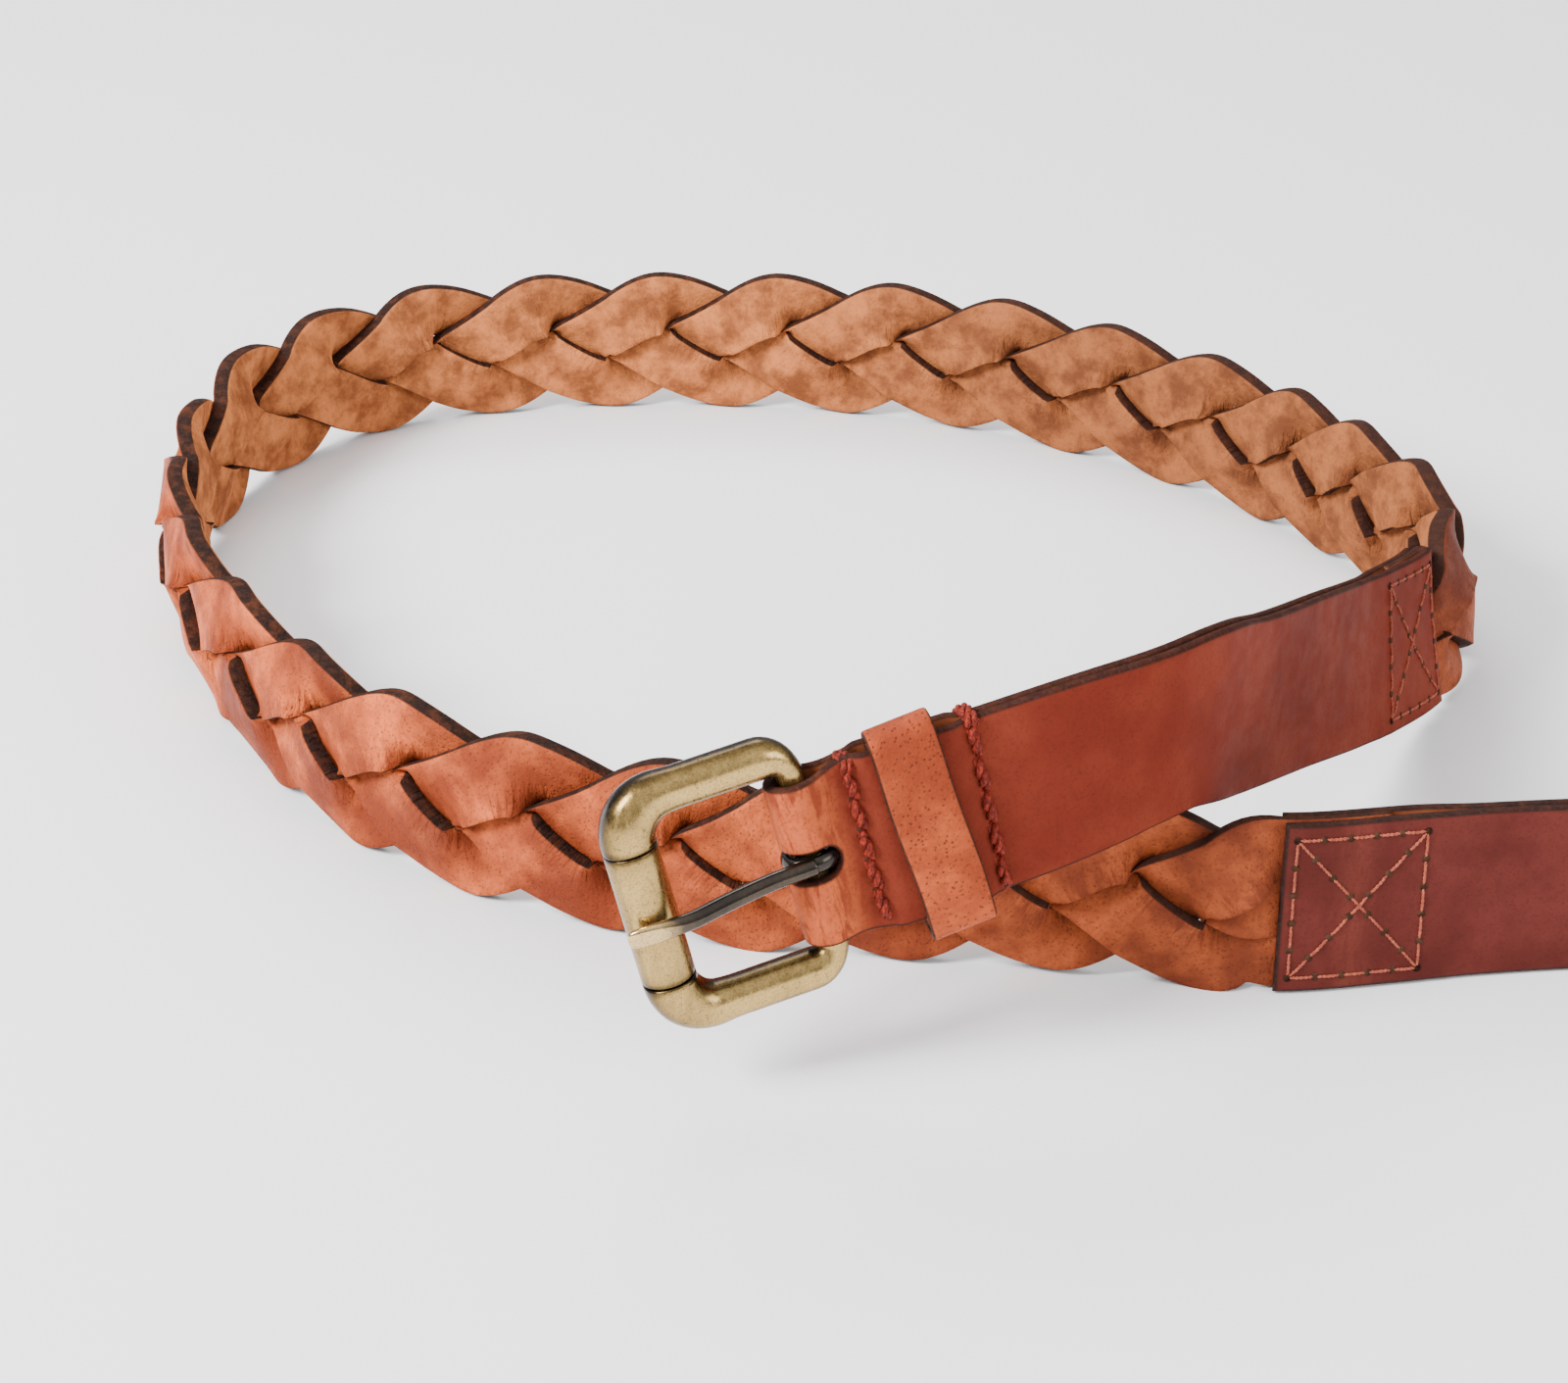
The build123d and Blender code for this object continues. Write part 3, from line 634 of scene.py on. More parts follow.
def make_strand(letter, k):
    d = np.arange(TIP_MOUTH - SEWN_IN, CHAPE_MOUTH + SEWN_IN, 0.9)
    phase = 2 * pi * (count_at(d) + k) / 3
    free = smooth(d, TIP_MOUTH - 1, TIP_MOUTH + SETTLE)
    free = free * smooth(d, CHAPE_MOUTH + 1, CHAPE_MOUTH - SETTLE)
    slot = np.where(d < END / 2, TIP_SLOTS[k], CHAPE_SLOTS[k])
    wander = np.interp(d, d[::40], RNG.normal(0, 0.35, len(d[::40])))
    swing = SWING * (np.cos(phase) + HUMP * np.cos(3 * phase))
    centre = (swing + wander) * free + slot * SEWN_SPACING * (1 - free)
    angle = np.arctan(np.gradient(centre, d))
    width = STRAND_WIDTH * free + SEWN_WIDTH * (1 - free)
    fat = np.interp(d, d[::30], RNG.normal(1, 0.035, len(d[::30])))
    fat = fat * free + SEWN_SHARE * (1 - free)

    # in shares of half the width and half the thickness
    rim = [(0.985, 0.86, 0.9, 0.6), (1.0, 0.62, 0.5, 1.0), (1.02, 0.0, 0.5, 1.0),
           (1.0, -0.62, 0.5, 1.0), (0.985, -0.86, 0.1, 0.6)]
    wide, thick, side, rim = section(np.linspace(-1, 1, ACROSS) * 0.955, 1.0, rim)
    t = wide * width[:, None] / 2
    inner = np.clip(wide, -1, 1) * STRAND_WIDTH / 2
    shift = t * np.sin(angle)[:, None]
    along = d[:, None] - shift
    across = centre[:, None] + t * np.cos(angle)[:, None]
    u = (phase / (2 * pi) * CELL)[:, None]
    middle = sample_cell(CELL_HEIGHT, u, inner) * free[:, None]
    half = half_thickness(inner) * fat[:, None]
    crown = 1.0 + 0.10 * (1 - wide**2)
    out = middle + thick * half * crown
    verts = place(along, across, out)
    # The inner side of each turn, marked for wrinkles and for painted shade in its creases.
    turning = np.maximum(0, -np.cos(phase)[:, None] * wide) * free[:, None]
    turning = np.clip(turning * 1.5 + 0.12, 0, 1)
    uv = np.stack([d[:, None] + np.zeros_like(t) + 700 * k, t], axis=-1)
    faces = tube_faces(*t.shape)
    make_object("plait_strand_" + letter, verts.reshape(-1, 3), faces, "belt", PLAIT,
                ring_marks(side, rim, turning, t.shape), uv.reshape(-1, 2), ("strand_" + letter,))


for k, letter in enumerate("abc"):
    make_strand(letter, k)


# ------ straps, cut as flat patterns
def offset_loop(loop, amount):
    """The closed loop moved towards its left by amount."""
    back = unit(loop - np.roll(loop, 1, axis=0))
    ahead = unit(np.roll(loop, -1, axis=0) - loop)
    tangent = unit(back + ahead)
    scale = 1 / np.maximum(0.35, np.sum(tangent * ahead, axis=1, keepdims=True))
    return loop + np.stack([-tangent[:, 1], tangent[:, 0]], axis=1) * amount * scale


def inside_loop(points, loop):
    """Which points lie inside the closed loop."""
    x, y = points[:, :1], points[:, 1:]
    ax, ay = loop.T
    bx, by = np.roll(loop, -1, axis=0).T
    crosses = (ay > y) != (by > y)
    with np.errstate(divide="ignore", invalid="ignore"):
        at = (bx - ax) * (y - ay) / (by - ay) + ax
    return (np.sum(crosses & (x < at), axis=1) % 2) == 1


def far_from(points, loop, least):
    """Which points lie further than least from the closed loop."""
    a = loop[None]
    b = np.roll(loop, -1, axis=0)[None]
    p = points[:, None]
    run = b - a
    share = np.clip(np.sum((p - a) * run, axis=2) / np.sum(run * run, axis=2), 0, 1)
    gap = np.linalg.norm(p - (a + run * share[..., None]), axis=2)
    return gap.min(axis=1) > least


def dense_loop(corners, spacing):
    pieces = []
    for a, b in zip(corners, corners[1:] + corners[:1]):
        a, b = np.array(a, float), np.array(b, float)
        count = max(1, int(round(np.linalg.norm(b - a) / spacing)))
        pieces.append(a + (b - a) * (np.arange(count) / count)[:, None])
    return np.concatenate(pieces)


# Inset from the cut edge, share of the thickness there, and rim value.
RIMS = [(0.0, 0.0, 1.0), (0.10, 0.55, 1.0), (0.32, 0.88, 0.75), (0.75, 1.0, 0.25), (1.6, 1.0, 0.0)]
HOLE_RIMS = RIMS[:4]
EDGE_ROOM = 2.4  # from the grid of inner points to the long edges
OUTLINE_ROOM = 2.1
HOLE_ROOM = 1.2


def pattern(outline, holes, spacing):
    """Flat points, triangles, share of thickness and rim value of a piece of leather.

    The outline runs counter-clockwise. Its rim and those of the holes are rounded over.
    """
    loops, share, rim = [], [], []
    for loop, sign in [(outline, 1)] + [(hole, -1) for hole in holes]:
        for inset, thick, rim_value in (RIMS if sign > 0 else HOLE_RIMS):
            loops.append(offset_loop(loop, sign * inset))
            share += [thick] * len(loop)
            rim += [rim_value] * len(loop)
    low, high = outline.min(axis=0), outline.max(axis=0)
    xs = np.arange(low[0] + spacing, high[0], spacing)
    count = max(2, int((high[1] - low[1] - 2 * EDGE_ROOM) / spacing) + 1)
    ys = np.linspace(low[1] + EDGE_ROOM, high[1] - EDGE_ROOM, count)
    shift = (np.arange(len(xs)) % 2) * (ys[1] - ys[0]) / 2
    grid = np.stack([np.repeat(xs, len(ys)), (ys[None] + shift[:, None]).ravel()], axis=1)
    keep = inside_loop(grid, outline) & far_from(grid, outline, OUTLINE_ROOM)
    for hole in holes:
        keep &= ~inside_loop(grid, hole) & far_from(grid, hole, HOLE_ROOM)
    grid = grid[keep]
    points = np.concatenate(loops + [grid])
    share = np.array(share + [1.0] * len(grid))
    rim = np.array(rim + [0.0] * len(grid))
    edges, base = [], 0
    for loop in loops:
        n = len(loop)
        edges += [(base + i, base + (i + 1) % n) for i in range(n)]
        base += n
    result = delaunay_2d_cdt([Vector(p) for p in points.tolist()], edges, [], 0, 1e-5)
    index = [origins[0] for origins in result[3]]
    flat = np.array([list(v) for v in result[0]])
    tris = np.array(result[2])
    centre = flat[tris].mean(axis=1)
    good = inside_loop(centre, outline)
    for hole in holes:
        good &= ~inside_loop(centre, hole)
    tris = tris[good]
    area = np.cross(flat[tris[:, 1]] - flat[tris[:, 0]], flat[tris[:, 2]] - flat[tris[:, 0]])
    tris[area < 0] = tris[area < 0][:, ::-1]
    return flat, tris, share[index], rim[index]


def leather_piece(name, outline, holes, to_space, spacing, mat, replaces, marks):
    """A layer of leather: to_space(x, y, height) puts pattern points and a height in place.

    marks(x) is how worn it is along its length; on the tip strap it is where a sheen is painted, and
    everywhere it sets painted shade in creases.
    """
    flat, tris, share, rim = pattern(outline, holes, spacing)
    n = len(flat)
    x, y = flat[:, 0], flat[:, 1]
    top = to_space(x, y, share * LAYER / 2)
    bottom = to_space(x, y, -share * LAYER / 2)
    edge = share < 1e-6
    verts = np.concatenate([top, bottom])
    bottom_index = np.where(edge, np.arange(n), np.arange(n) + n)
    faces = [tuple(t) for t in tris.tolist()]
    faces += [tuple(t[::-1]) for t in bottom_index[tris].tolist()]
    used = np.zeros(2 * n, bool)
    used[np.unique(np.array(faces))] = True
    remap = np.cumsum(used) - 1
    faces = [tuple(int(remap[i]) for i in f) for f in faces]
    side = np.concatenate([np.where(rim > 0.9, 0.6, 1.0), np.where(rim > 0.9, 0.4, 0.0)])
    attrs = {"side": side[used], "rim": np.tile(rim, 2)[used], "wear_sheen_and_crease": np.tile(marks(x), 2)[used]}
    uv = np.concatenate([flat, flat])[used]
    make_object(name, verts[used], faces, "belt", mat, attrs, uv, replaces)


def circle_loop(x, radius):
    turn = circle(28)
    return np.stack([x + radius * np.cos(turn), radius * np.sin(turn)], axis=1)


def slot_loop(x, half_length, half_width):
    turn = np.linspace(-pi / 2, pi / 2, 13)
    end = half_length - half_width + half_width * np.cos(turn)
    rise = half_width * np.sin(turn)
    right = np.stack([x + end, rise], axis=1)
    left = np.stack([x - end, -rise], axis=1)
    count = max(2, int(2 * (half_length - half_width) / 0.8))
    span = np.linspace(-1, 1, count + 2)[1:-1] * (half_length - half_width)
    upper = np.stack([x - span, np.full(count, half_width)], axis=1)
    lower = np.stack([x + span, np.full(count, -half_width)], axis=1)
    return np.concatenate([right, upper, left, lower])


# The tip strap: an outer layer and a lining, with a pointed end and punched holes.
def tip_gap(d):
    return GLUE_LINE + (ROOM - GLUE_LINE) * smooth(d, TIP_MOUTH - 34, TIP_MOUTH - 22)


def tip_lift(d, across, amount):
    """How far the upper edge stands out near the plait."""
    return amount * smooth(d, TIP_MOUTH - 26, TIP_MOUTH) * smooth(across, 4, STRAP_WIDTH / 2)


def tip_layer(name, side, node):
    """The outer layer (side 1) or the lining (side -1)."""
    half = STRAP_WIDTH / 2
    turn = np.linspace(0, 1, 14)[1:-1]
    point = [(x, half * (1 - (1 - x / POINT_LENGTH) ** 1.9) ** 0.75)
             for x in POINT_LENGTH * (1 - turn) ** 1.55]
    outline = [(TIP_MOUTH, -half), (TIP_MOUTH, half), (POINT_LENGTH, half)] + point + [(0.0, 0.0)]
    outline += [(x, -y) for x, y in point[::-1]] + [(POINT_LENGTH, -half)]
    holes = [circle_loop(FIRST_HOLE + HOLE_PITCH * i, HOLE_RADIUS) for i in range(HOLE_COUNT)]

    def to_space(x, y, height):
        gap = (tip_gap(x) + LAYER) / 2
        lift = tip_lift(x, y, 0.55 if side > 0 else -0.15)
        emboss = -0.18 * np.exp(-((x - (TIP_MOUTH - 25.0)) / 0.7) ** 2) * (side > 0)
        return place(x, y, side * gap + (height + emboss) * side + lift)

    # Painted sheen round the box stitching, which also gets painted shade in creases.
    def marks(x):
        return 0.6 * np.exp(-((x - TIP_MOUTH + 12) / 9) ** 2)

    leather_piece(name, dense_loop(outline, 1.5), holes, to_space, 1.7, TIP_LEATHER, (node,), marks)


tip_layer("tip_strap_outer", 1, "tip_strap")
tip_layer("tip_strap_lining", -1, "tip_lining")


# The folded strap: one length of leather, back layer, round the bar, then front layer.
BEND = BAR_RADIUS + RUNNING + LAYER / 2
BACK_RUN = END - CHAPE_MOUTH
FOLD_RUN = pi * BEND
WHOLE_RUN = 2 * BACK_RUN + FOLD_RUN


def fold_gap(d):
    """Room between the two layers at a distance along the belt."""
    bar = 2 * (BAR_RADIUS + RUNNING) * smooth(d, END - 7.5, END)
    keeper = KEEPER_GAP * smooth(d, END - ROW_REAR + 0.3, END - ROW_REAR + 2.6)
    keeper = keeper * smooth(d, END - ROW_FRONT - 0.3, END - ROW_FRONT - 2.6)
    strands = ROOM * smooth(d, CHAPE_MOUTH + 34, CHAPE_MOUTH + 22)
    return np.maximum.reduce([np.full_like(d, GLUE_LINE), bar, keeper, strands])


def fold_half_width(x):
    """Half the width of the pattern, trimmed where the buckle holds it."""
    reach = np.abs(x - WHOLE_RUN / 2)
    return STRAP_WIDTH / 2 - (STRAP_WIDTH - FOLD_WIDTH) / 2 * smooth(reach, 15, 8)


def fold_lift(d, across):
    """How far the upper edge stands out near the plait."""
    return 0.5 * smooth(d, CHAPE_MOUTH + 22, CHAPE_MOUTH) * smooth(across, 3, 15)


def fold_place(x, y, height):
    """Pattern points in space; height is outward on the grain side all the way round."""
    turn = np.clip((x - BACK_RUN) / BEND, 0, pi)
    back = x < BACK_RUN
    front = x > BACK_RUN + FOLD_RUN
    d = np.where(back, CHAPE_MOUTH + x, np.where(front, CHAPE_MOUTH + WHOLE_RUN - x, END))
    middle, along, up, out = axes_at(d)
    gap = (fold_gap(d) + LAYER) / 2
    radial = along * np.sin(turn)[:, None] - out * np.cos(turn)[:, None]
    bulge = 0.35 * np.exp(-((END - d - 17) / 6.0) ** 2) * (1 - (2 * y / STRAP_WIDTH) ** 2) * front
    flat_out = np.where(front, gap + height + bulge, -(gap + height))
    lift = fold_lift(d, y) * np.where(front, 1, -0.3)
    dent = -0.16 * np.exp(-((d - (CHAPE_MOUTH + 25.0)) / 0.7) ** 2) * front
    straight = middle + up * y[:, None] + out * (flat_out + lift + dent)[:, None]
    bent = middle + up * y[:, None] + radial * (BEND + height)[:, None]
    return np.where((back | front)[:, None], straight, bent)


# Worn where the strap bends round the bar; these marks also set painted shade in creases.
def fold_marks(x):
    return np.exp(-((x - WHOLE_RUN / 2 - 5) / 9.0) ** 2)


def folded_strap():
    middle = WHOLE_RUN / 2
    stations = np.concatenate([
        np.linspace(0, middle - 18, 60), np.linspace(middle - 17.2, middle + 17.2, 44),
        np.linspace(middle + 18, WHOLE_RUN, 60),
    ])
    outline = [(x, -float(fold_half_width(x))) for x in stations]
    outline += [(x, float(fold_half_width(x))) for x in stations[::-1]]
    slot = slot_loop(middle, SLOT_REACH + 2.4, SLOT_WIDTH / 2)
    leather_piece("folded_strap", dense_loop(outline, 1.6), [slot], fold_place, 1.5, STRAP,
                  ("chape_strap",), fold_marks)


folded_strap()


# ------ keeper
def make_keeper():
    """The leaning band, as a section carried round a loop in the plane across the strap."""
    middle, along, up, out = (v[0] for v in axes_at(np.array([END - KEEPER_AT])))
    lean = math.radians(KEEPER_LEAN)
    along = along * math.cos(lean) - up * math.sin(lean)
    up = np.cross(along, out)
    thick = KEEPER_LEATHER
    back = -0.55 + thick / 2
    front = KEEPER_GAP / 2 + LAYER + 0.55 + thick / 2
    top = (KEEPER_INSIDE + thick) / 2
    upper = [(back, top - 1.0), (back + 0.5, top - 0.2), (back + 1.5, top), (front - 1.1, top),
             (front - 0.3, top - 0.35), (front, top - 1.2), (front + 0.5, top - 6)]
    lower = [(x, -y) for x, y in upper[::-1]]
    path = np.array(lower[-1:] + [(back, 0)] + upper + [(front + 0.8, 0)] + lower)
    run = run_along(path)
    at = np.linspace(0, run[-1], 161)[:-1]
    loop = np.stack([np.interp(at, run, path[:, k]) for k in range(2)], axis=1)
    for _ in range(6):
        loop = 0.5 * loop + 0.25 * (np.roll(loop, 1, 0) + np.roll(loop, -1, 0))
    tangent = unit(np.roll(loop, -1, 0) - np.roll(loop, 1, 0))
    outward = np.stack([tangent[:, 1], -tangent[:, 0]], axis=1)
    if np.sum(outward * (loop - loop.mean(0))) < 0:
        outward = -outward
    half = KEEPER_WIDTH / 2
    rim = [(half - 0.15, thick * 0.425, 0.9, 0.7), (half, thick * 0.25, 0.5, 1.0), (half, 0, 0.5, 1.0),
           (half, -thick * 0.25, 0.5, 1.0), (half - 0.15, -thick * 0.45, 0.1, 0.7)]
    wide, deep, side, rim = section(np.linspace(-half + 0.5, half - 0.5, 15), thick / 2, rim)
    sag = 0.14 * np.cos(2 * pi * at / run[-1] * 3)[:, None]
    x = loop[:, :1] + outward[:, :1] * deep
    y = loop[:, 1:] + outward[:, 1:] * deep
    w = wide * (1 + 0.012 * np.cos(at / 9.0))[:, None] + sag
    verts = middle + out * x[..., None] + up * y[..., None] + along * w[..., None]
    shape = x.shape
    uv = np.stack([np.broadcast_to(at[:, None], shape), w], axis=-1).reshape(-1, 2)
    make_object("keeper_band", verts.reshape(-1, 3), tube_faces(*shape, True), "keeper",
                KEEPER, ring_marks(side, rim, 0.35, shape), uv, ("keeper_loop",))


make_keeper()


# ------ stitches
def make_row(name, distance, node):
    """Thick twisted stitches on both faces, with one turn over the top edge."""
    gather = Gather()
    holes = Gather()
    d = END - distance
    half = float(fold_half_width(np.array(WHOLE_RUN / 2 + distance)))
    surface = float(fold_gap(np.array([d]))[0]) / 2 + LAYER
    pitch = (2 * half - 1.4) / ROW_STITCHES
    for face in (1, -1):
        for i in range(ROW_STITCHES):
            low = 0.7 - half + i * pitch
            s = np.linspace(0, 1, 15)
            across = low + 0.35 + s * (pitch - 0.7)
            lift = (surface - 0.75 + 1.25 * np.sin(pi * s) ** 0.45) * face
            slant = d + 0.55 * (s - 0.5) * face
            thread(gather, place(slant, across, lift + 0.12), ROW_THREAD_RADIUS, 4.0)
    s = np.linspace(0, 1, 29)
    turn = pi * s
    for shift in (-0.45, 0.5):
        out = np.cos(turn) * (surface + 0.35)
        across = half - 1.2 + np.sin(turn) ** 0.6 * 1.75
        thread(gather, place(d + shift + 0.5 * (s - 0.5), across, out), LAP_THREAD_RADIUS, 3.4)
    # Dark plugs painted as the shade in the needle holes between stitches.
    for i in range(1, ROW_STITCHES):
        low = 0.7 - half + i * pitch
        depth = surface - np.array([0.5, 0.225, -0.05])
        spot = place(np.full(3, d + 0.15), np.full(3, low), depth)
        holes.add(round_tube(spot, NEEDLE_HOLE, 12))
    gather.object(name, "belt", ROW_THREAD, (node,))
    holes.object(name + "_hole_shade", "belt", HOLE_SHADE)


def make_box(name, start, layer_out, node):
    """A box with both diagonals in thin thread that sinks into its needle holes."""
    gather = Gather()
    holes = Gather()
    half, rise = BOX_LENGTH / 2, BOX_HEIGHT / 2
    centre = start + half
    corners = [(-half, rise), (half, rise), (half, -rise), (-half, -rise)]
    lines = [(corners[i], corners[(i + 1) % 4], SIDE_STITCHES) for i in range(4)]
    lines += [(corners[i], corners[i + 2], DIAGONAL_STITCHES) for i in range(2)]
    for (d0, a0), (d1, a1), count in lines:
        for i in range(count):
            s = np.linspace(0, 1, 11)
            u = (i + 0.06 + 0.88 * s) / count
            d = centre + d0 + (d1 - d0) * u
            across = a0 + (a1 - a0) * u
            level = layer_out(d, across) - 0.26 + 0.40 * np.sin(pi * s) ** 0.5
            thread(gather, place(d, across, level), BOX_THREAD_RADIUS, 1.5)
        # Dark plugs painted as the shade in the needle holes.
        for i in range(count + 1):
            u = i / count
            d = np.full(3, centre + d0 + (d1 - d0) * u)
            across = np.full(3, a0 + (a1 - a0) * u)
            level = layer_out(d, across) + np.array([-0.5, -0.2, 0.045])
            holes.add(round_tube(place(d, across, level), NEEDLE_HOLE, 12))
    gather.object(name, "belt", BOX_THREAD, (node,))
    holes.object(name + "_hole_shade", "belt", HOLE_SHADE)


def tip_face(d, across):
    """Height of the tip strap's face over the belt's middle surface."""
    return tip_gap(d) / 2 + LAYER + tip_lift(d, across, 0.55)


def fold_face(d, across):
    """Height of the folded strap's front face over the belt's middle surface."""
    return fold_gap(d) / 2 + LAYER + fold_lift(d, across)


make_row("stitches_by_buckle", ROW_FRONT, "stitch_row_front")
make_row("stitches_behind_keeper", ROW_REAR, "stitch_row_rear")
make_box("tip_box_stitches", TIP_MOUTH - BOX_MARGIN - BOX_LENGTH, tip_face, "box_stitch_tip_end")
make_box("buckle_end_box_stitches", CHAPE_MOUTH + BOX_MARGIN, fold_face, "box_stitch_buckle_end")


# ------ buckle
BAR, STRAP_RUN, BAR_UP, _ = (v[0] for v in axes_at(np.array([END])))
SWING_ANGLE = math.radians(2.0)  # the buckle is turned a little from the strap's line


def turned(v, axis, angle):
    """v turned about a unit axis."""
    return (v * math.cos(angle) + np.cross(axis, v) * math.sin(angle)
            + axis * axis.dot(v) * (1 - math.cos(angle)))


FORWARD = turned(STRAP_RUN, BAR_UP, SWING_ANGLE)
OUTWARD = np.cross(BAR_UP, FORWARD)


def buckle_space(forward, up, out):
    """Points in space from the rear bar's middle, along the buckle's own axes."""
    forward, up, out = (np.asarray(v, float)[..., None] for v in (forward, up, out))
    return BAR + FORWARD * forward + BAR_UP * up + OUTWARD * out


def arc(cx, cy, radius, start, end, count):
    turn = np.radians(np.linspace(start, end, count))
    return [(cx + radius * math.cos(t), cy + radius * math.sin(t)) for t in turn]


def squared(wave, power):
    """A sine or cosine made squarer, for superellipse sections."""
    return np.sign(wave) * np.abs(wave) ** (2 / power)


def sweep_flat(line, wide, deep, power):
    """Superellipse sections along a line in the buckle's plane, as a grid of local points."""
    tangent = unit(np.gradient(line, axis=0))
    side = np.stack([tangent[:, 1], -tangent[:, 0]], axis=1)
    turn = circle(40)
    c = squared(np.cos(turn), power)
    s = squared(np.sin(turn), power)
    x = line[:, :1] + side[:, :1] * c * wide[:, None]
    y = line[:, 1:] + side[:, 1:] * c * wide[:, None]
    z = s * deep[:, None]
    return x, y, z, c, s


def make_frame():
    """One ring of bar, from the roller's upper end round the rear to its lower end."""
    half = BUCKLE_HEIGHT / 2
    seam = ROLLER_LENGTH / 2 + 0.15
    front = BUCKLE_REACH
    upper = [(front, seam), (front, seam + 0.12), (front, seam + 0.35)]
    upper += arc(front - BUCKLE_CORNER, half - BUCKLE_CORNER, BUCKLE_CORNER, 0, 90, 16)
    upper += [(x, half) for x in np.linspace(front - BUCKLE_CORNER, REAR_CORNER, 15)[1:-1]]
    upper += arc(REAR_CORNER, half - REAR_CORNER, REAR_CORNER, 90, 180, 12)
    upper += [(0, y) for y in np.linspace(half - REAR_CORNER, 0, 8)[1:]]
    points = np.array(upper + [(x, -y) for x, y in upper[-2::-1]])
    run = run_along(points)
    run = np.minimum(run, run[-1] - run)
    corner_end = 0.7 + pi / 2 * BUCKLE_CORNER
    arm_end = corner_end + front - BUCKLE_CORNER - REAR_CORNER
    to_rear = smooth(run, arm_end, arm_end + 6)
    wide = ROLLER_RADIUS - (ROLLER_RADIUS - ARM_HALF[0]) * smooth(run, corner_end * 0.35, corner_end + 3)
    wide = wide - (ARM_HALF[0] - REAR_HALF) * to_rear
    deep = ROLLER_RADIUS - (ROLLER_RADIUS - ARM_HALF[1]) * smooth(run, corner_end * 0.25, corner_end + 2)
    deep = deep - (ARM_HALF[1] - REAR_HALF) * to_rear
    ease = np.where(run < 0.02, 0.93, 1.0)
    x, y, z, c, s = sweep_flat(points, wide * ease, deep * ease, 2.25)
    grid = buckle_space(x, y, z)
    # Painted light: the face turned out is painted lighter and the face turned in darker. The bar is
    # also darker towards its rims, at the joint with the roller and a little at the front corners.
    patina_and_painted_light = 0.42 + 0.5 * s - 0.3 * np.abs(c) ** 3
    patina_and_painted_light = patina_and_painted_light - 0.5 * np.exp(-(run / 0.5) ** 2)[:, None]
    patina_and_painted_light = patina_and_painted_light - 0.12 * np.exp(-((run - corner_end * 0.5) / 5) ** 2)[:, None]
    gather = Gather()
    gather.add(grid, wear=np.clip(patina_and_painted_light, 0, 1))
    up = np.linspace(-seam - 0.5, seam + 0.5, 4)
    turn = circle(24)
    bar = buckle_space(front + FRONT_BAR_RADIUS * np.cos(turn), up[:, None],
                       FRONT_BAR_RADIUS * np.sin(turn))
    gather.add(bar, wear=0.1)
    gather.object("buckle_frame_cast", "buckle", BRASS, ("buckle_frame",))


def make_roller():
    """A short tube with a seam, turned from its profile."""
    half = ROLLER_LENGTH / 2 - 0.08
    turn = circle(64)
    rim = [(0.0, ROLLER_BORE + 0.01), (0.0, 4.0), (0.10, 4.2), (0.3, ROLLER_RADIUS)]
    profile = [(inset - half, radius) for inset, radius in rim]
    profile += [(v, ROLLER_RADIUS) for v in np.linspace(-half + 1, half - 1, 12)]
    profile += [(half - inset, radius) for inset, radius in rim[::-1]]
    profile += [(v, ROLLER_BORE) for v in np.linspace(half, -half, 5)]
    along, radius = (column[:, None] for column in np.array(profile).T)
    seam_turn = pi * 1.45
    seam = 1 - 0.035 * np.exp(-((turn - seam_turn) / 0.05) ** 2)
    radius = radius * np.where(radius > 3.9, seam, 1)
    grid = buckle_space(BUCKLE_REACH + radius * np.cos(turn), along, radius * np.sin(turn))
    ends = np.exp(-((half - np.abs(along)) / 0.8) ** 2)
    # Darker at the ends and along the seam. Painted light: lighter on the side turned out, with a
    # painted dark band on the side facing forward.
    wear = 0.70 - 0.55 * ends - 0.5 * np.exp(-((turn - seam_turn) / 0.09) ** 2)
    wear = wear + 0.16 * np.sin(turn) - 0.1 * (np.cos(turn) > 0.75)
    gather = Gather()
    gather.add(grid, closed_run=True, wear=np.clip(wear, 0, 1))
    gather.object("buckle_roller_tube", "roller", BRASS, ("buckle_roller",))


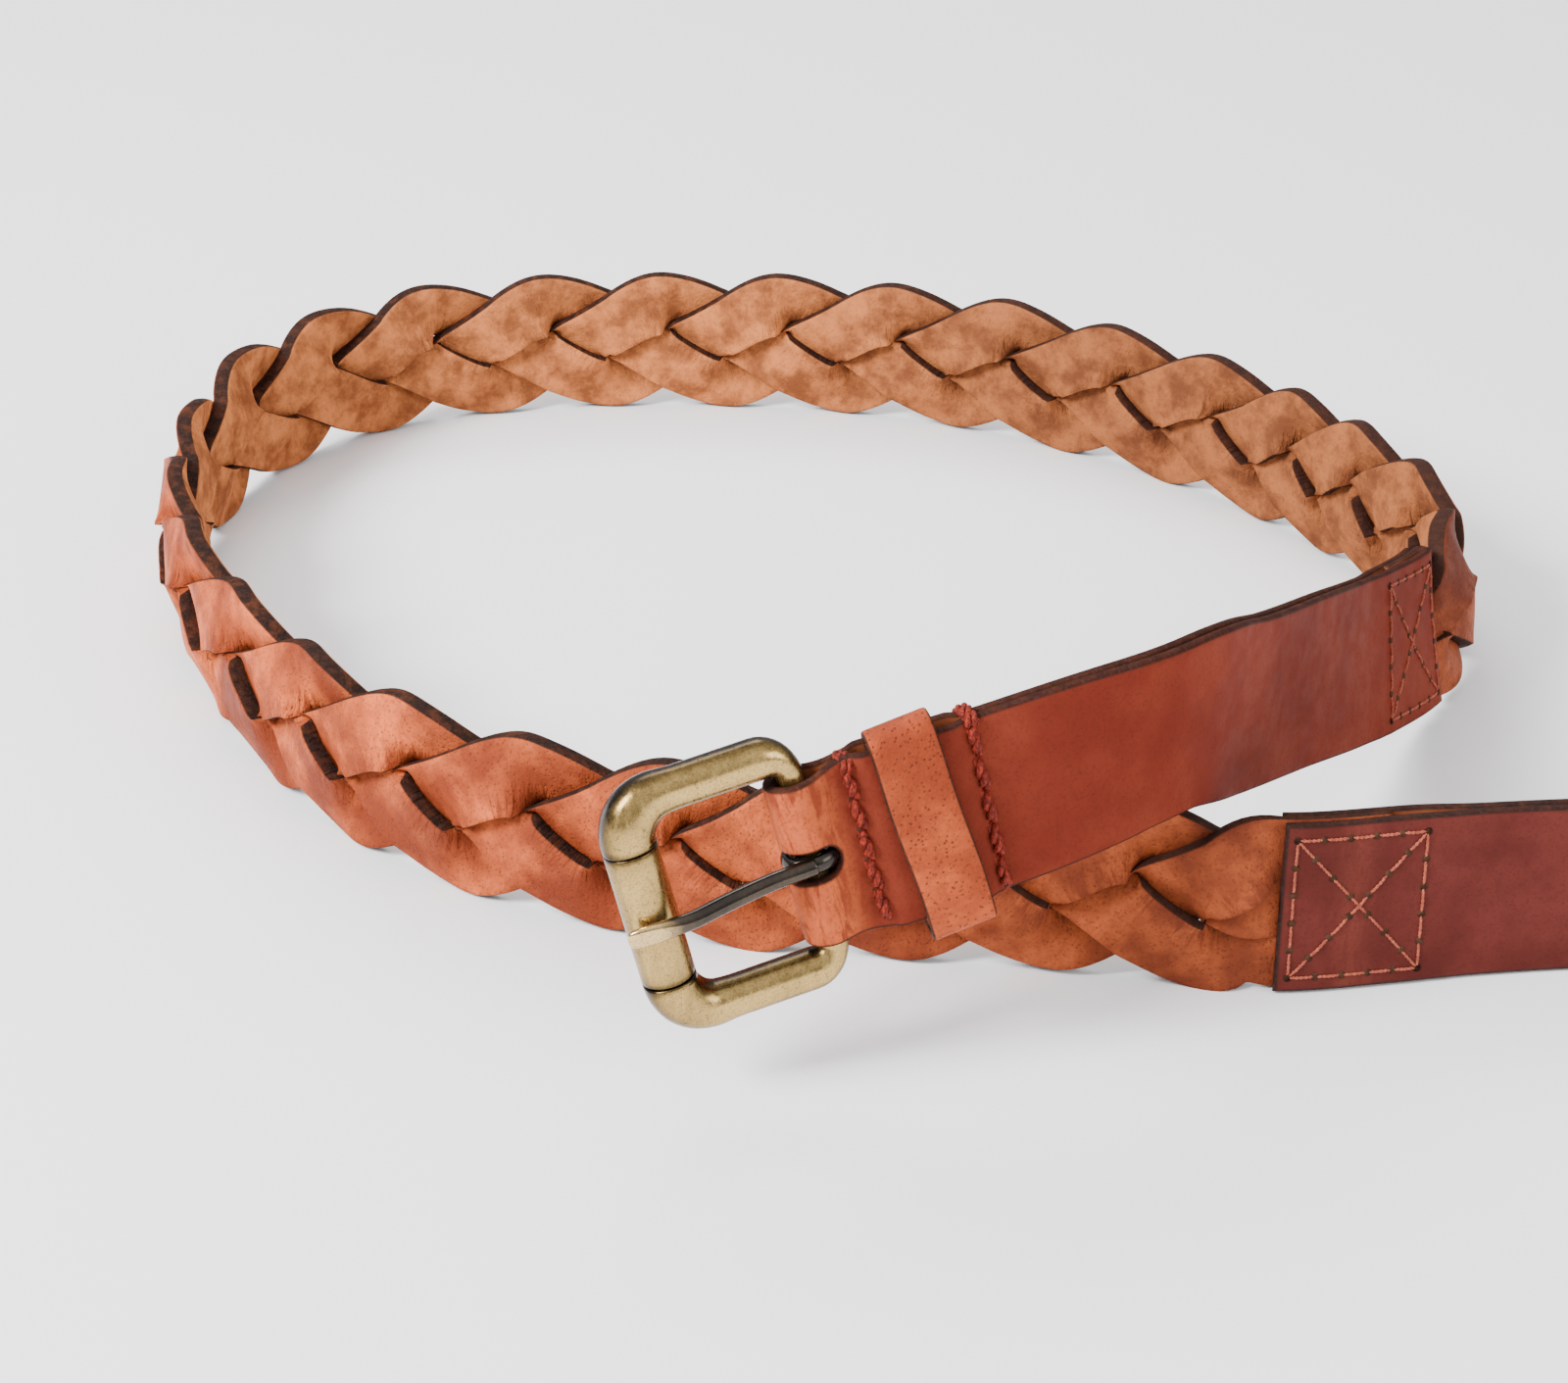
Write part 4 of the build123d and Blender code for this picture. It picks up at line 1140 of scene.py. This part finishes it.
def make_prong():
    """A bent wire flattened at its tip, with an eye round the rear bar."""
    eye = BAR_RADIUS + RUNNING + PRONG_RADIUS
    rest = ROLLER_RADIUS + PRONG_RADIUS + 0.08
    # forward, up, out, half width and half depth along the wire
    stations = np.array([
        (0.2, 0.3, eye, 1.4, 1.35), (2.5, 0.3, eye + 0.08, 1.4, 1.4),
        (5, 0.28, eye + 0.05, 1.38, 1.38), (8, 0.2, eye + 0.15, 1.38, 1.38),
        (12, 0.0, eye + 0.6, 1.4, 1.38), (16, -0.2, eye + 1.2, 1.4, 1.36),
        (20, -0.5, rest + 0.22, 1.4, 1.3), (23, -0.65, rest + 0.12, 1.46, 1.12),
        (25.5, -0.75, rest - 0.12, 1.6, 0.9), (28, -0.85, rest - 0.4, 1.62, 0.72),
        (29.5, -0.95, rest - 0.62, 1.5, 0.6), (30.3, -1.0, rest - 0.75, 1.2, 0.42),
        (30.6, -1.0, rest - 0.8, 0.6, 0.2),
    ])
    at = np.linspace(0, len(stations) - 1, 90)
    cells = np.arange(len(stations))
    f = np.stack([np.interp(at, cells, stations[:, k]) for k in range(5)], axis=1)
    for _ in range(10):
        f[1:-1] = 0.5 * f[1:-1] + 0.25 * (f[2:] + f[:-2])
    forward, beside, out, half_wide, half_deep = (column[:, None] for column in f.T)
    turn = circle(24)
    power = 2 + 1.2 * smooth(forward, 21, 27)
    c = squared(np.cos(turn), power)
    s = squared(np.sin(turn), power)
    tangent = unit(np.gradient(f[:, [0, 2]], axis=0))
    x = forward - tangent[:, 1:] * s * half_deep
    y = beside + c * half_wide
    z = out + tangent[:, :1] * s * half_deep
    # Painted highlight on the face turned out; the brass at the tip is the metal's own wear.
    wear = 0.12 + 0.2 * s + 0.68 * smooth(forward, 20, 27)
    gather = Gather()
    gather.add(buckle_space(x, y, z), wear=np.clip(wear, 0, 1))
    turn = circle(48)[:, None]
    small = circle(16)
    eye_wire = 1.05
    radius = BAR_RADIUS + 0.12 + eye_wire + eye_wire * np.cos(small)
    grid = buckle_space(radius * np.cos(turn), 0.3 + 1.45 * np.sin(small), radius * np.sin(turn))
    gather.add(grid, closed_run=True, wear=0.15)
    gather.object("buckle_prong_wire", "prong", DARK_BRASS, ("buckle_prong",))


make_frame()
make_roller()
make_prong()
staple = plain("staple_wire", (0.20, 0.19, 0.18), 0.4, metallic=1.0)
for holder_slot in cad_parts["keeper_staple"].material_slots:
    holder_slot.material = staple


# ------ floor, light and camera
FLOOR_HALF = 6.0  # metres


def stage_plane():
    mesh = bpy.data.meshes.new("floor")
    corners = [(-FLOOR_HALF, -FLOOR_HALF, 0), (FLOOR_HALF, -FLOOR_HALF, 0),
               (FLOOR_HALF, FLOOR_HALF, 0), (-FLOOR_HALF, FLOOR_HALF, 0)]
    mesh.from_pydata(corners, [], [(0, 1, 2, 3)])
    mesh.materials.append(new_material("floor_white").finish(
        Base_Color=(0.93, 0.925, 0.935), Roughness=0.9, Specular_IOR_Level=0.1))
    floor = into_scene("floor", mesh)


def area_light(name, at, target, size, power):
    light = bpy.data.lights.new(name, "AREA")
    light.shape = "RECTANGLE"
    light.size, light.size_y = size
    light.energy = power
    holder = into_scene(name, light)
    holder.location = at
    holder.rotation_euler = (Vector(target) - Vector(at)).to_track_quat("-Z", "Y").to_euler()


def studio_world():
    """White all round: dimmer low down, and dimmer on the right than on the left."""
    n = Nodes(bpy.data.worlds.new("studio"))
    n.shader = n.tree.nodes["Background"]
    split = n.add("SeparateXYZ", Vector=n.add("TexCoord").outputs["Generated"])
    height = n.ramp(split.outputs["Z"], [(0.02, (0.20, 0.195, 0.21)), (0.75, (1.0, 0.995, 1.0))])
    sideways = n.add("MapRange", Value=split.outputs["X"], From_Min=-0.4, From_Max=0.9,
                     To_Min=1.12, To_Max=0.8)
    dimmer = n.add("VectorMath")
    dimmer.operation = "SCALE"
    n.fill(dimmer, {"Vector": height, "Scale": sideways.outputs[0]})
    bpy.context.scene.world = n.finish(Color=dimmer.outputs[0], Strength=1.35)


stage_plane()
studio_world()
area_light("key", (-0.95, -0.50, 0.80), (-0.05, -0.05, 0), (0.45, 0.45), 34.0)
area_light("fill", (0.75, -0.60, 0.45), (0.05, -0.1, 0), (0.6, 0.5), 5.5)
area_light("rim", (-0.3, 0.8, 0.9), (0, 0, 0), (0.7, 0.4), 7.0)

camera = bpy.data.cameras.new("camera")
camera.sensor_width = 36.0
camera.lens = 69.75
camera.clip_start = 0.01
camera.clip_end = 50.0
holder = into_scene("camera", camera)
holder.location = (-LAYOUT_CENTRE[0] / 1000, -LAYOUT_CENTRE[1] / 1000, 0.277)
holder.rotation_euler = (math.radians(90 - 28), 0, 0)
bpy.context.scene.camera = holder
